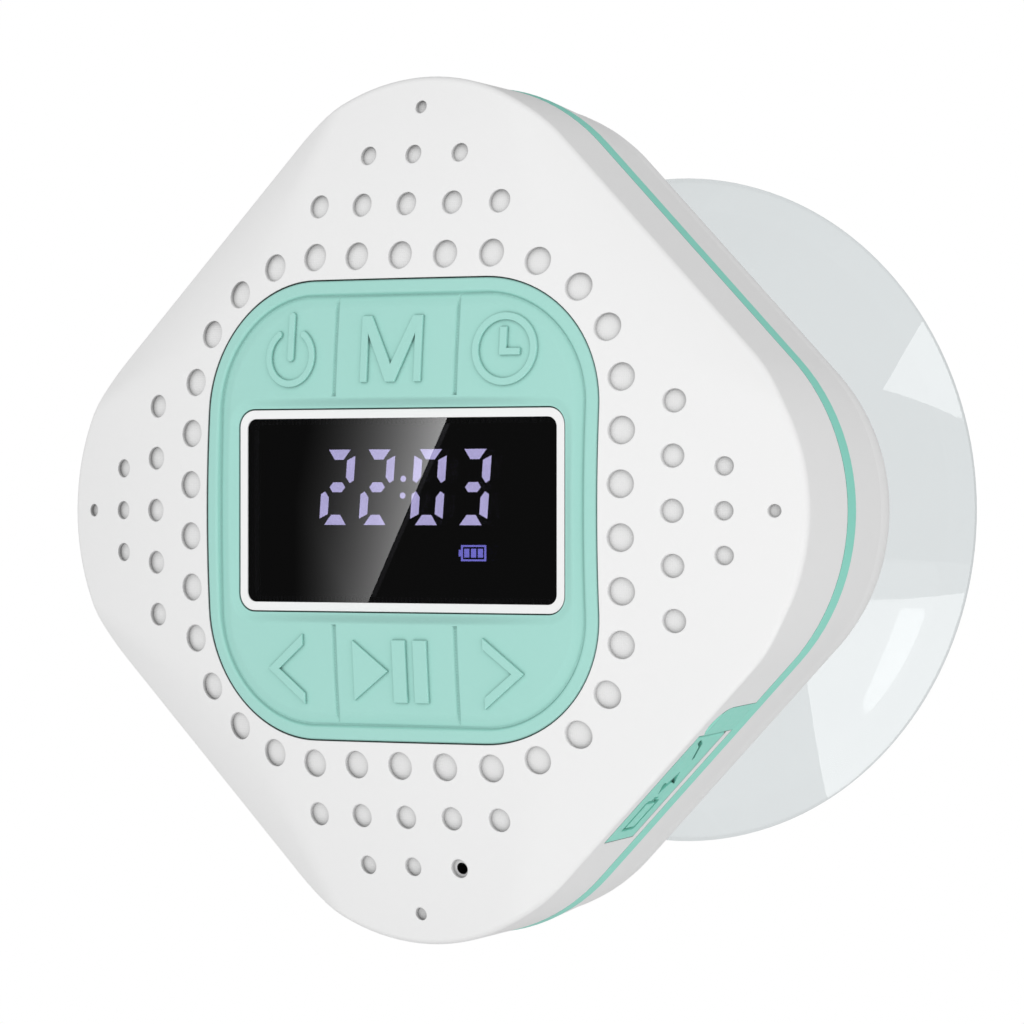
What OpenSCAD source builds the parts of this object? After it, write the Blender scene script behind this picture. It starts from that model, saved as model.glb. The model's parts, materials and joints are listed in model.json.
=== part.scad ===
// Shower speaker: a square body standing on one corner, with a domed, perforated face, a silicone
// control pad round a clock display, a charging port under a silicone flap, and a suction cup behind.
// Every piece is drawn as it is seen from the front: X to the right, Y up, and Z the distance from
// the wall. from_wall() then stands the drawing up, so that the model's +Z is up and its front
// faces -Y. The origin is the middle of the suction cup's contact ring, on the wall.

/* [Body] */
// Width of the body across its flat sides
body_flat = 100.6; // [100:0.1:101.2]
// Radius of the body's four corners, seen from the front
body_corner = 28.9; // [28.5:0.1:29.2]
// Width across the flat sides where they meet the face
face_flat = 102.6; // [102.2:0.1:102.8]
// Corner radius where the sides meet the face
face_corner = 30.4; // [30:0.1:30.8]
// Distance from the wall to the middle of the edge between face and flat sides
face_edge = 70.3; // [70:0.1:70.5]
// Thickness of the side walls and the back
side_wall = 2.2; // [1.8:0.1:2.4]
// Thickness of the domed face
face_wall = 0.8; // [0.8:0.1:1]
// Distance from the wall to the back of the body
back_h = 35.5; // [35.3:0.1:36]
// Distance from the wall to the top of the sphere that the face belongs to
dome_top = 81; // [80.5:0.5:81.5]
// Radius of that sphere
dome_r = 180; // [178:1:184]
// Distance from the centre at which the face starts to roll over towards a flat side
roll_start = 36; // [35.5:0.5:36.5]
// Radius of the roll towards a flat side
roll_r = 36.3; // [35.8:0.1:36.8]
// How much the rear shell narrows from the seam to its rounded back edge
rear_taper = 1.7; // [1.2:0.1:2]
// Radius of the rounded back edge
rear_edge = 10; // [9:0.5:10.5]

/* [Trim ring] */
// Distance from the wall to the trim ring's rear edge
seam_low = 55.9; // [55.7:0.1:56.1]
// Width of the trim ring
seam_w = 2.3; // [2.1:0.1:2.4]
// Depth of the trim ring into the body
seam_depth = 3; // [2.6:0.1:3.2]

/* [Control pad] */
// Half the width of the control pad
pad_half = 31.7; // [31.6:0.05:31.8]
// Corner radius of the control pad
pad_corner = 17.8; // [17.4:0.1:18.2]
// Width of the raised rim round the pad
pad_rim = 2; // [1.8:0.1:2.2]
// Travel of a key
key_travel = 0.8; // [0.5:0.1:0.8]
// Gap between a key and what surrounds it
key_gap = 0.16; // [0.12:0.02:0.2]
// Half the width of the middle keys
key_middle = 9.75; // [9.5:0.05:10]
// Distance of the keys' inner edges from the pad's centre
key_inner = 15.8; // [15.7:0.1:16]
// Height of the raised symbols on the keys
symbol_h = 0.5; // [0.3:0.1:0.6]

/* [Display] */
// Half the width of the display's white frame
frame_half_x = 26.4; // [26.2:0.1:26.6]
// Half the height of the display's white frame
frame_half_y = 13.9; // [13.8:0.1:14]
// Width of the frame's border
frame_border = 1.2; // [1:0.1:1.4]
// Distance from the wall to the front of the display frame
frame_top = 77.6; // [77.4:0.1:77.8]
// Sideways lean of the digits, for each millimetre of height
digit_lean = 0.08; // [0:0.01:0.1]

/* [Grille] */
// Distance of the ring of holes from the pad's centre
ring_half = 35; // [34.9:0.1:35.2]
// Corner radius of the ring of holes
ring_corner = 20.7; // [20:0.1:21]
// Holes in the ring
ring_count = 34; // [34:1:34]
// Diameter of a hole in the ring
ring_hole_d = 3.8; // [3:0.1:4]
// Pitch of the rows of five holes
row_pitch = 7.35; // [7:0.05:7.5]

/* [Port] */
// Length of the port flap, from its free end to its hinge
flap_len = 20.2; // [20:0.1:20.4]
// Place of the flap's hinge along the body's lower right side
flap_hinge = 7.5; // [7.3:0.1:7.7]
// Width of the port flap
flap_w = 8.3; // [8:0.1:8.5]
// Thickness of the port flap
flap_t = 1.1; // [1:0.05:1.2]

/* [Suction cup] */
// Radius of the suction cup's rim
cup_r = 49.3; // [48.7:0.1:50]
// Width of the flat ring that touches the wall
cup_lip = 5; // [4:0.5:6]
// Distance from the wall to the top of the cup's dome
cup_top = 25; // [24:0.5:26]
// Depth of the hollow behind the cup
cup_hollow = 14.5; // [12:0.5:15]
// Radius of the stem where it passes through the body's back
stem_r = 8; // [7:0.5:8.5]

/* [Hidden] */
$fn = 96;
eps = 0.02;
body_half = body_flat / 2;
corner_mid = body_half - body_corner;
seam_high = seam_low + seam_w;
face_half = face_flat / 2;
flare = (face_half - body_half) / (face_edge - seam_high);
clear = 0.3;
turn_fit = 0.08;
key_names = ["key_power", "key_mode", "key_clock", "key_previous", "key_play_pause", "key_next"];
pill_names = ["pill_power", "pill_mode", "pill_clock", "pill_previous", "pill_play_pause", "pill_next"];
key_x = [-17.4, 0, 17.4];
key_y = 21.9;
pcb_top = 73;
pcb_t = 1.6;
pad_floor = 74.6;
pad_floor_t = 0.7;
pill_t = 0.6;
pill_low = pcb_top + 0.06 + key_travel + 0.04;
key_under = 76.4;
key_sink = 0.3;
band_top = frame_top + 0.1;
post_r = 28.5;
posts = [for (k = [0 : 3]) turn_point([post_r, 0], k)];
flap_low = 60;
flap_mid = flap_low + flap_w / 2;
flap_gap = 0.15;
plug_x = flap_hinge - 10.6;
root_top = 67.4;
notch_x = flap_hinge + 3.1;
notch_r = 2.9;
shell_screws = [[43, 24], [-24, 43], [-43, -24], [24, -43]];
board_screws = [[-19, -32], [16, -32]];
driver_face = 67.2;
mic_at = [7.45, -49];
white = [0.93, 0.93, 0.93];
mint = [0.62, 0.87, 0.81];
board_green = [0.05, 0.32, 0.2];

// ---- helpers ----

module from_wall() rotate([90, 0, 0]) children();

module turned() rotate([0, 0, 45]) children();

module slab(low, high) translate([0, 0, low]) linear_extrude(high - low) children();

module tube(outer, inner, low, high) difference() {
    translate([0, 0, low]) cylinder(r = outer, h = high - low);
    translate([0, 0, low - 1]) cylinder(r = inner, h = high - low + 2);
}

module soft_rect(half_x, half_y, corner) {
    square([2 * half_x, 2 * (half_y - corner)], center = true);
    square([2 * (half_x - corner), 2 * half_y], center = true);
    for (sx = [-1, 1], sy = [-1, 1])
        translate([sx * (half_x - corner), sy * (half_y - corner)]) circle(corner);
}

module soft_square(half, corner) soft_rect(half, half, corner);

// A soft square with the same corner centres as the body.
module ring_square(half) soft_square(half, half - corner_mid);

// A thick line between two points, with round ends.
module stroke(a, b, w) {
    run = b - a;
    translate(a) rotate([0, 0, atan2(run[1], run[0])])
        translate([0, -w / 2]) square([norm(run), w]);
    translate(a) circle(w / 2, $fn = 32);
    translate(b) circle(w / 2, $fn = 32);
}

// A wire through a list of points.
module wire(points, r) for (i = [0 : len(points) - 2]) {
    run = points[i + 1] - points[i];
    translate(points[i]) rotate([0, acos(run[2] / norm(run)), atan2(run[1], run[0])])
        translate([0, 0, -r / 2]) cylinder(r = r, h = norm(run) + r, $fn = 8);
}

// ---- the face's shape ----

// Centre of the roll's circle, measured from the middle of the body.
roll_lean = asin(roll_start / dome_r);
roll_x = roll_start - roll_r * sin(roll_lean);
roll_h = dome_top - dome_r * (1 - cos(roll_lean)) - roll_r * cos(roll_lean) + 0.08;

module roll_profile(inset) {
    translate([-roll_start, 20]) square([2 * roll_start, dome_top]);
    translate([-roll_x - roll_r + inset, 20]) square([2 * (roll_x + roll_r - inset), roll_h - 20]);
    for (side = [-1, 1]) translate([side * roll_x, roll_h]) circle(roll_r - inset);
}

module rolled_sides(inset)
    translate([0, 80, 0]) rotate([90, 0, 0]) linear_extrude(160) roll_profile(inset);

// Everything behind the domed face, at a depth below its surface.
module face_solid(inset) intersection() {
    translate([0, 0, dome_top - dome_r]) sphere(dome_r - inset, $fn = 240);
    turned() rolled_sides(inset);
    turned() rotate([0, 0, 90]) rolled_sides(inset);
}

// The front shell's sides, which flare a little from the seam to the face.
module flared_sides(inset, low) intersection() {
    slab(low, dome_top) turned() soft_square(face_half - inset, face_corner - inset);
    turned() rounded_block(low, dome_top) {
        bottom = body_corner - inset + flare * (low - seam_high);
        top = body_corner - inset + flare * (dome_top - seam_high);
        polygon([[0, low], [bottom, low], [top, dome_top], [0, dome_top]]);
    }
}

// A square block with round corners, from its section measured outwards from the corners' centres.
module rounded_block(low, high) {
    translate([-corner_mid, -corner_mid, low]) cube([2 * corner_mid, 2 * corner_mid, high - low]);
    for (k = [0 : 3]) rotate([0, 0, 90 * k]) translate([corner_mid, corner_mid, 0]) {
        rotate_extrude(angle = 90) children();
        rotate([90, 0, 0]) linear_extrude(2 * corner_mid) children();
    }
}

// Stands a shape drawn square to a vertical side on the flared side instead.
module on_side() translate([0, -body_half, seam_high]) rotate([atan(flare), 0, 0])
    translate([0, body_half, -seam_high]) children();

// ---- the grille's holes ----

// Place of a hole that lies a distance s along the rounded ring, from the middle of its top.
ring_flat = ring_half - ring_corner;
ring_arc = PI / 2 * ring_corner;
ring_side = 2 * ring_flat + ring_arc;

function turn_point(p, k) = k == 0 ? p : turn_point([p[1], -p[0]], k - 1);

function side_point(s) = s <= ring_flat
    ? [s, ring_half]
    : s <= ring_flat + ring_arc
        ? [ring_flat + ring_corner * sin((s - ring_flat) / ring_corner * 180 / PI),
           ring_flat + ring_corner * cos((s - ring_flat) / ring_corner * 180 / PI)]
        : [ring_half, ring_flat - (s - ring_flat - ring_arc)];

function ring_point(s) = turn_point(side_point(s % ring_side), floor(s / ring_side));

ring_holes = [for (i = [0 : ring_count - 1]) ring_point(i * 4 * ring_side / ring_count)];

// A row of holes across a corner, at a distance from the centre.
function row_holes(place, pitch, last) = [for (i = [-last : last]) [i * pitch, place]];

module grille_holes() {
    for (p = ring_holes) translate(p) circle(ring_hole_d / 2);
    for (k = [0 : 3]) rotate([0, 0, 90 * k]) {
        for (p = row_holes(42.1, row_pitch, 2)) translate(p) circle(1.6);
        for (p = row_holes(49, k % 2 == 0 ? 7.45 : 5.95, 1)) translate(p) circle(1.28);
        translate([0, 55.6]) circle(0.88);
    }
}

// ---- suction cup ----

module suction_cup() {
    drop = cup_top - 1.2;
    outer_r = (pow(cup_r, 2) + pow(drop, 2)) / (2 * drop);
    inner_rim = cup_r - cup_lip;
    inner_r = (pow(inner_rim, 2) + pow(cup_hollow, 2)) / (2 * cup_hollow);
    color([0.85, 0.9, 0.92, 0.5]) from_wall() rotate_extrude() difference() {
        union() {
            intersection() {
                translate([0, cup_top - outer_r]) circle(outer_r, $fn = 180);
                square([cup_r, cup_top + 5]);
            }
            polygon([[0, 18], [19, 21.5], [13.5, 26.5], [12, 30], [12, back_h - clear], [0, back_h - clear]]);
            translate([0, back_h - 2]) square([stem_r, 5]);
            translate([0, back_h + side_wall + clear]) square([10.5, 3.4]);
        }
        intersection() {
            translate([0, cup_hollow - inner_r]) circle(inner_r, $fn = 180);
            translate([0, -1]) square([cup_r, cup_top]);
        }
    }
}

// ---- housing ----

module boss_pillars(low, high, r, places)
    for (p = places) translate([p[0], p[1], low]) cylinder(r = r, h = high - low);

module port_pocket() {
    // Recess for the flap, the hole behind it, and the recess for the flap's root.
    depth = flap_t + 0.2;
    left = flap_hinge - flap_len - flap_gap;
    translate([left, -body_half - 1, flap_low - flap_gap])
        cube([flap_len + flap_gap + 0.8, depth + 1, flap_w + 2 * flap_gap]);
    translate([plug_x - 5.5, -body_half - 1, flap_mid - 1.9]) cube([10.6, side_wall + 3, 3.8]);
    // Finger notch above the flap's root.
    translate([notch_x, -body_half - 1, root_top - 2.2]) rotate([-90, 0, 0]) cylinder(r = notch_r, h = depth + 1);
    difference() {
        translate([0, -body_half + depth, 0]) rotate([90, 0, 0]) linear_extrude(depth + 1) root_outline(0.1);
        translate([0, 0, seam_high - 5]) cube([120, 120, 5], center = true);
    }
}

// The flap's root on the trim ring, seen square to the body's side.
module root_outline(grow) {
    start = flap_hinge + 0.7 - grow;
    end = flap_hinge + 5.9 + grow;
    top = root_top + grow;
    corner = 2.1 + grow;
    low = seam_low + 1.2;
    translate([start, low]) square([end - start, top - corner - low]);
    translate([start, low]) square([end - corner - start, top - low]);
    translate([end - corner, top - corner]) circle(corner);
}

module front_shell() color(white) from_wall() difference() {
    intersection() {
        face_solid(0);
        flared_sides(0, seam_high);
    }
    difference() {
        intersection() {
            face_solid(face_wall);
            flared_sides(side_wall, seam_high - 1);
        }
        turned() boss_pillars(seam_high, dome_top, 2.8, shell_screws);
    }
    slab(60, dome_top + 1) soft_square(pad_half + 0.1, pad_corner + 0.1);
    slab(67, dome_top + 1) grille_holes();
    turned() boss_pillars(seam_high - 1, 68, 1.05, shell_screws);
    turned() on_side() port_pocket();
}

module rear_profile(reach, inset, top) {
    foot = reach - rear_taper;
    edge = rear_edge - inset;
    low = back_h + inset;
    polygon([[0, low], [foot - edge, low], [foot, low + edge], [reach, seam_low],
             [reach, top], [0, top]]);
    translate([foot - edge, low + edge]) circle(edge);
}

module rear_solid(inset, top) rounded_block(back_h + inset, top)
    rear_profile(body_corner - inset, inset, top);

module rear_shell() color(white) from_wall() {
    difference() {
        turned() rear_solid(0, seam_low);
        difference() {
            turned() rear_solid(side_wall, seam_low + 1);
            turned() boss_pillars(back_h, seam_low + 2, 2.9, shell_screws);
            turned() boss_pillars(back_h, 43, 4.2, shell_screws);
            boss_pillars(back_h, seam_low + 2, 3, posts);
            turned() boss_pillars(back_h, seam_low + 2, 2.4, board_screws);
            translate([0, 0, back_h]) cylinder(r = 13.5, h = 8);
            battery_ribs();
        }
        slab(43.1, seam_low + 2) circle(13.6);
        translate([0, 0, back_h - 1]) cylinder(r = stem_r + turn_fit, h = 10);
        translate([0, 0, back_h + side_wall]) cylinder(r = 11, h = 12);
        turned() boss_pillars(back_h - 1, seam_low + 3, 1.5, shell_screws);
        turned() boss_pillars(back_h - 1, 40.4, 3, shell_screws);
        boss_pillars(48, 70, 0.95, posts);
        turned() boss_pillars(50, 70, 0.9, board_screws);
        battery_place() cylinder(r = battery_r + 0.15, h = battery_len + 2, center = true);
    }
    // Upper ends of the posts under the driver and the main board.
    difference() {
        boss_pillars(seam_low - 1, driver_face - 1.2, 3, posts);
        boss_pillars(48, 70, 0.95, posts);
    }
    turned() difference() {
        boss_pillars(seam_low - 1, board_face - pcb_t, 2.4, board_screws);
        boss_pillars(50, 70, 0.9, board_screws);
    }
    // Locating lip inside the trim ring, on a step inside the wall.
    difference() {
        slab(53, seam_low - 0.4) turned() difference() {
            ring_square(49);
            ring_square(46);
        }
        battery_place() cylinder(r = battery_r + 0.15, h = battery_len + 2, center = true);
    }
    slab(seam_low - 0.5, 60.2) turned() difference() {
        ring_square(body_half - seam_depth - 0.1);
        ring_square(46);
        translate([plug_x - 7, -60]) square([28, 20]);
    }
}

// Cradle ribs that the battery lies in, along the upper left side.
battery_at = [5, 36.4];
battery_r = 9.1;
battery_len = 50;
battery_h = 50;

module battery_ribs() turned() for (x = [-14, 14])
    translate([battery_at[0] + x - 0.8, battery_at[1] - 7, back_h]) cube([1.6, 14, 12]);

module trim_ring() color(mint) from_wall() turned() difference() {
    union() {
        slab(seam_low, seam_high) difference() {
            ring_square(body_half);
            ring_square(body_half - seam_depth);
        }
        on_side() translate([0, -body_half + flap_t, 0]) rotate([90, 0, 0])
            linear_extrude(flap_t) root_outline(0);
    }
    // The root's upper edge is eased.
    on_side() translate([flap_hinge, -body_half - 0.5, root_top]) rotate([45, 0, 0]) cube([14, 1.2, 1.2], center = true);
}

module port_flap() color(mint) from_wall() turned() on_side() difference() {
    union() {
        translate([flap_hinge - flap_len, -body_half, flap_low]) cube([flap_len, flap_t, flap_w]);
        translate([flap_hinge, -body_half + flap_t / 2, flap_low]) cylinder(r = flap_t / 2, h = flap_w);
        translate([plug_x - 4.3, -body_half + flap_t - eps, flap_mid - 1.3]) cube([8.2, 1.5, 2.6]);
    }
    // Engraved mark: a battery outline and a charging bolt, no lettering; then the creases at the root.
    translate([0, -body_half + 0.45, 0]) rotate([90, 0, 0]) linear_extrude(1) {
        translate([flap_hinge - 15.4, flap_mid]) difference() {
            soft_rect(3, 1.9, 0.5);
            soft_rect(2.35, 1.25, 0.25);
        }
        translate([flap_hinge - 12.45, flap_mid - 0.7]) square([0.7, 1.4]);
        translate([flap_hinge - 9, flap_mid]) polygon([[-2.2, 0.35], [0.4, 2.1], [0, 0.5], [2.2, -0.35],
                                                      [-0.4, -2.1], [0, -0.5]]);
        stroke([flap_hinge - 4.3, flap_mid - 0.9], [flap_hinge - 1.4, flap_mid + 0.9], 0.5);
        stroke([flap_hinge - 1.4, flap_mid + 0.9], [flap_hinge - 0.6, flap_mid + 2.3], 0.7);
    }
}

// ---- control pad and keys ----

module pad_interior() soft_square(pad_half - pad_rim, pad_corner - pad_rim);

module control_pad() color(mint) from_wall() difference() {
    intersection() {
        union() {
            slab(pad_floor, dome_top) soft_square(pad_half, pad_corner);
            intersection() {
                face_solid(face_wall + 0.03);
                slab(pad_floor, 76.6) soft_square(pad_half + 1.4, pad_corner + 1.4);
            }
        }
        face_solid(0);
    }
    // The keys' wells, with the floor left under them.
    for (side = [-1, 1]) slab(pad_floor + pad_floor_t, dome_top + 1) intersection() {
        pad_interior();
        translate([-40, side > 0 ? key_inner - key_gap : -40]) square([80, 40 - key_inner + key_gap]);
    }
    // The band round the display is lower than the rim.
    slab(band_top, dome_top + 1) intersection() {
        pad_interior();
        square([80, 2 * key_inner], center = true);
    }
    slab(pad_floor - 1, dome_top + 1) soft_rect(frame_half_x + 0.06, frame_half_y + 0.06, 2.46);
    for (x = key_x, y = [-key_y, key_y]) translate([x, y, pad_floor - 1]) cylinder(r = 2.6, h = 3);
}

// The symbols, each about the middle of its key.
module symbol_power() {
    difference() {
        circle(4.15);
        circle(3.2);
        translate([-1.35, 1]) square([2.7, 5]);
    }
    stroke([0, -0.6], [0, 5.4], 1);
}

module symbol_mode() translate([0, -4.6]) {
    leg = 1.25;
    polygon([[-5, 0], [-5, 9.2], [-3.6, 9.2], [0, 2.9], [3.6, 9.2], [5, 9.2], [5, 0], [5 - leg, 0],
             [5 - leg, 6.6], [0.6, 0.9], [-0.6, 0.9], [leg - 5, 6.6], [leg - 5, 0]]);
}

module symbol_clock() {
    difference() {
        circle(4.95);
        circle(4.05);
    }
    translate([-0.5, -0.9]) square([0.9, 4]);
    translate([-0.5, -0.9]) square([3, 0.9]);
}

module symbol_arrow(side) scale([side, 1]) polygon([[3, 4.75], [-3.1, 0], [3, -4.75], [3, -3.35],
                                                    [-1.3, 0], [3, 3.35]]);

module symbol_play_pause() {
    polygon([[-6, 4.3], [-6, -4.3], [-0.1, 0]]);
    translate([0.7, -4.5]) square([2.1, 9]);
    translate([4, -4.5]) square([2.1, 9]);
}

module symbol(i) {
    if (i == 0) symbol_power();
    if (i == 1) symbol_mode();
    if (i == 2) symbol_clock();
    if (i == 3) symbol_arrow(1);
    if (i == 4) symbol_play_pause();
    if (i == 5) symbol_arrow(-1);
}

function column(i) = i % 3;
function row_sign(i) = i < 3 ? 1 : -1;

module key_outline(i) intersection() {
    soft_square(pad_half - pad_rim - key_gap, pad_corner - pad_rim - key_gap);
    left = [-40, -key_middle + key_gap, key_middle + key_gap][column(i)];
    right = [-key_middle - key_gap, key_middle - key_gap, 40][column(i)];
    translate([left, row_sign(i) > 0 ? key_inner : -40]) square([right - left, 40 - key_inner]);
}

module key(i) color(mint) from_wall() {
    place = [key_x[column(i)], row_sign(i) * key_y];
    intersection() {
        face_solid(key_sink);
        slab(key_under, dome_top) key_outline(i);
    }
    translate([place[0], place[1], pill_low + pill_t]) cylinder(r = 2.2, h = key_under - pill_low - pill_t + eps);
    intersection() {
        face_solid(key_sink - symbol_h);
        slab(key_under + 0.5, dome_top + 1) translate(place) symbol(i);
    }
}

module pill(i) color([0.1, 0.1, 0.1]) from_wall()
    translate([key_x[column(i)], row_sign(i) * key_y, pill_low]) cylinder(r = 2.2, h = pill_t);

// ---- display ----

module display_frame() color([0.95, 0.95, 0.95]) from_wall() difference() {
    slab(pcb_top, frame_top) soft_rect(frame_half_x, frame_half_y, 2.4);
    slab(76, frame_top + 1) soft_rect(frame_half_x - frame_border, frame_half_y - frame_border, 1.4);
    slab(pcb_top - 1, 77) soft_rect(frame_half_x - 2, frame_half_y - 2, 0.8);
}

module display_window() color([0.03, 0.03, 0.04]) from_wall()
    slab(76, frame_top - 0.15) soft_rect(frame_half_x - frame_border - 0.03, frame_half_y - frame_border - 0.03, 1.37);

module display_module() color([0.08, 0.08, 0.09]) from_wall()
    slab(pcb_top, 75.8) square([2 * frame_half_x - 4.6, 2 * frame_half_y - 4.6], center = true);

// The lit bars of a digit: outlines about the digit's middle, before it leans.
end_bar = [[-1.75, 5.2], [1.75, 5.2], [0.7, 3.8], [-0.7, 3.8]];
middle_bar = [[-1.25, 0], [-0.7, 0.68], [0.7, 0.68], [1.25, 0], [0.7, -0.68], [-0.7, -0.68]];
side_bar = [[2.6, 4.3], [2.6, 0.95], [2, 0.6], [1.35, 1.4], [1.35, 3.7]];

// Which bars light for a digit: top, upper left, upper right, middle, lower left, lower right, bottom.
lit = [[0, [1, 1, 1, 0, 1, 1, 1]], [2, [1, 0, 1, 1, 1, 0, 1]], [3, [1, 0, 1, 1, 0, 1, 1]]];
function bars_of(d) = [for (entry = lit) if (entry[0] == d) entry[1]][0];
bars = [[end_bar, 1, 1], [side_bar, -1, 1], [side_bar, 1, 1], [middle_bar, 1, 1], [side_bar, -1, -1],
        [side_bar, 1, -1], [end_bar, 1, -1]];

module digit(d) for (i = [0 : 6]) if (bars_of(d)[i] == 1)
    polygon([for (p = bars[i][0]) [bars[i][1] * p[0] + digit_lean * bars[i][2] * p[1], bars[i][2] * p[1]]]);

digit_y = 3.2;
digits = [[-11.35, 2], [-4.8, 2], [3.6, 0], [10.8, 3]];

module digit_segments() color([0.78, 0.74, 0.95]) from_wall() slab(75.8, 75.92) {
    for (d = digits) translate([d[0], digit_y]) digit(d[1]);
    translate([-0.5, digit_y + 1.15]) circle(0.42, $fn = 32);
    translate([-0.6, digit_y - 1.15]) circle(0.42, $fn = 32);
}

module battery_indicator() color([0.6, 0.6, 0.95]) from_wall() slab(75.8, 75.92) translate([10.9, -5.8]) {
    difference() {
        square([4, 2.2], center = true);
        square([3.5, 1.7], center = true);
    }
    translate([-2.35, -0.45]) square([0.35, 0.9]);
    for (x = [-1.1, 0, 1.1]) translate([x, 0]) square([0.75, 1.2], center = true);
}

// ---- key board ----

module key_board() color(board_green) from_wall() difference() {
    slab(pcb_top - pcb_t, pcb_top) soft_square(31, 14);
    boss_pillars(pcb_top - 3, pcb_top + 1, 1.1, posts);
}

module key_contacts() color([0.85, 0.7, 0.3]) from_wall()
    for (x = key_x, y = [-key_y, key_y]) translate([x, y, pcb_top]) cylinder(r = 2.4, h = 0.06);

module board_spacers() color([0.8, 0.68, 0.35]) from_wall()
    for (p = posts) translate(p) {
        translate([0, 0, driver_face]) difference() {
            cylinder(r = 2.6, h = pcb_top - pcb_t - driver_face, $fn = 6);
            translate([0, 0, 1]) cylinder(r = 1, h = 5);
        }
        translate([0, 0, driver_face - 8]) cylinder(r = 0.93, h = 8 + eps);
    }

module key_board_screws() color([0.7, 0.7, 0.72]) from_wall()
    for (p = posts) translate(p) difference() {
        union() {
            translate([0, 0, pcb_top]) cylinder(r = 1.9, h = 1.1);
            translate([0, 0, pcb_top - pcb_t - 1.6]) cylinder(r = 0.95, h = pcb_t + 1.6 + eps);
        }
        translate([0, 0, pcb_top + 0.9]) cube([2.4, 0.5, 1.1], center = true);
        translate([0, 0, pcb_top + 0.9]) cube([0.5, 2.4, 1.1], center = true);
    }

// ---- grille mesh and microphone ----

module grille_mesh() color([0.8, 0.8, 0.8]) from_wall() difference() {
    intersection() {
        face_solid(face_wall + 0.13);
        slab(64, dome_top) turned() soft_square(47.6, 24.2);
    }
    intersection() {
        face_solid(face_wall + 0.53);
        slab(60, dome_top) turned() soft_square(49, 26);
    }
    slab(60, dome_top + 1) soft_square(pad_half + 1.6, pad_corner + 1.6);
    turned() boss_pillars(60, dome_top, 3, shell_screws);
    translate([mic_at[0], mic_at[1], 60]) cylinder(r = 3.3, h = 20);
}

module microphone() color([0.25, 0.25, 0.26]) from_wall()
    translate([mic_at[0], mic_at[1], 68.6]) cylinder(r = 2, h = 1.6);

module microphone_boot() color([0.06, 0.06, 0.06]) from_wall() intersection() {
    face_solid(face_wall + 0.06);
    translate([mic_at[0], mic_at[1], 0]) difference() {
        translate([0, 0, 67.6]) cylinder(r = 3.2, h = 8);
        translate([0, 0, 68.6]) cylinder(r = 2, h = 1.6);
        translate([0, 0, 66]) cylinder(r = 1.1, h = 12);
    }
}

// ---- charging socket, main board ----

module usb_shell() color([0.75, 0.75, 0.78]) from_wall() turned()
    translate([plug_x - 0.2, -47, flap_mid]) rotate([-90, 0, 0]) difference() {
        linear_extrude(7.2) soft_rect(4.47, 1.45, 1.2);
        translate([0, 0, -1]) linear_extrude(7.2) soft_rect(4.17, 1.15, 1);
    }

module usb_tongue() color([0.1, 0.1, 0.1]) from_wall() turned()
    translate([plug_x - 0.2, -46.2, flap_mid]) rotate([-90, 0, 0])
        translate([-3.2, -0.35, 0]) cube([6.4, 0.7, 5.4]);

board_face = flap_mid - 1.45;

module main_board() color(board_green) from_wall() turned() difference() {
    translate([-23, -45.4, board_face - pcb_t]) cube([43, 16.4, pcb_t]);
    boss_pillars(50, 70, 1.1, board_screws);
}

module board_chips() color([0.09, 0.09, 0.1]) from_wall() turned() translate([0, 0, board_face]) {
    translate([-16, -42.5, 0]) cube([6, 6, 0.9]);
    translate([5, -43.5, 0]) cube([5, 5, 1]);
    translate([12.5, -43, 0]) cube([5, 3.2, 1.2]);
    translate([-21.5, -36.5, 0]) cube([2, 1.2, 0.6]);
    translate([-9, -33, 0]) cylinder(r = 2, h = 4.5);
    translate([-4.2, -33, 0]) cylinder(r = 2, h = 4.5);
    translate([10.6, -34.5, 0]) cube([2.8, 4, 1.8]);
    translate([-14, -32.4, 0]) cube([2.4, 1.4, 0.6]);
}

module main_board_screws() color([0.7, 0.7, 0.72]) from_wall() turned() for (p = board_screws)
    translate([p[0], p[1], board_face]) difference() {
        union() {
            cylinder(r = 1.9, h = 1.1);
            translate([0, 0, -6]) cylinder(r = 0.88, h = 6 + eps);
        }
        translate([0, 0, 0.9]) cube([2.4, 0.5, 1.1], center = true);
        translate([0, 0, 0.9]) cube([0.5, 2.4, 1.1], center = true);
    }

// Flat cable from the key board down to the main board.
module ribbon_cable() color([0.9, 0.88, 0.8]) from_wall() turned()
    translate([9, 0, 0]) rotate([90, 0, -90]) linear_extrude(8)
        polygon([[25, pcb_top - pcb_t - 0.3], [25, pcb_top - pcb_t], [32.9, pcb_top - pcb_t], [32.9, board_face],
                 [29.5, board_face], [29.5, board_face + 0.3], [32.6, board_face + 0.3],
                 [32.6, pcb_top - pcb_t - 0.3]]);

// ---- battery ----

module battery_place() turned() translate([battery_at[0], battery_at[1], battery_h]) rotate([0, 90, 0]) children();

module battery_cell() color([0.25, 0.5, 0.75]) from_wall() battery_place() {
    translate([0, 0, -battery_len / 2]) cylinder(r = battery_r, h = battery_len);
    translate([0, 0, battery_len / 2 - eps]) cylinder(r = 3.2, h = 0.9);
}

module battery_tape() color([0.85, 0.75, 0.3]) from_wall() battery_place()
    for (z = [-5, 5]) tube(battery_r + 0.12, battery_r, z - 3, z + 3);

module battery_wires() color([0.8, 0.1, 0.1]) from_wall() turned() {
    wire([[31.6, 36.4, 50], [34.2, 34, 50], [34.2, -20, 50], [19, -30.5, board_face - pcb_t - 0.75]], 0.7);
    wire([[-20.8, 36.4, 47], [-23.5, 33, 47], [-33, 20, 47], [-33, -20, 47],
          [-21.8, -30.5, board_face - pcb_t - 0.75]], 0.7);
}

module speaker_wires() color([0.1, 0.1, 0.1]) from_wall() turned() for (side = [-1, 1])
    wire([[side * 2, -19.4, 58.6], [side * 2, -27.2, 57.4], [side * 2, -30.6, board_face - pcb_t - 0.6]], 0.5);

// ---- driver ----

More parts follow.
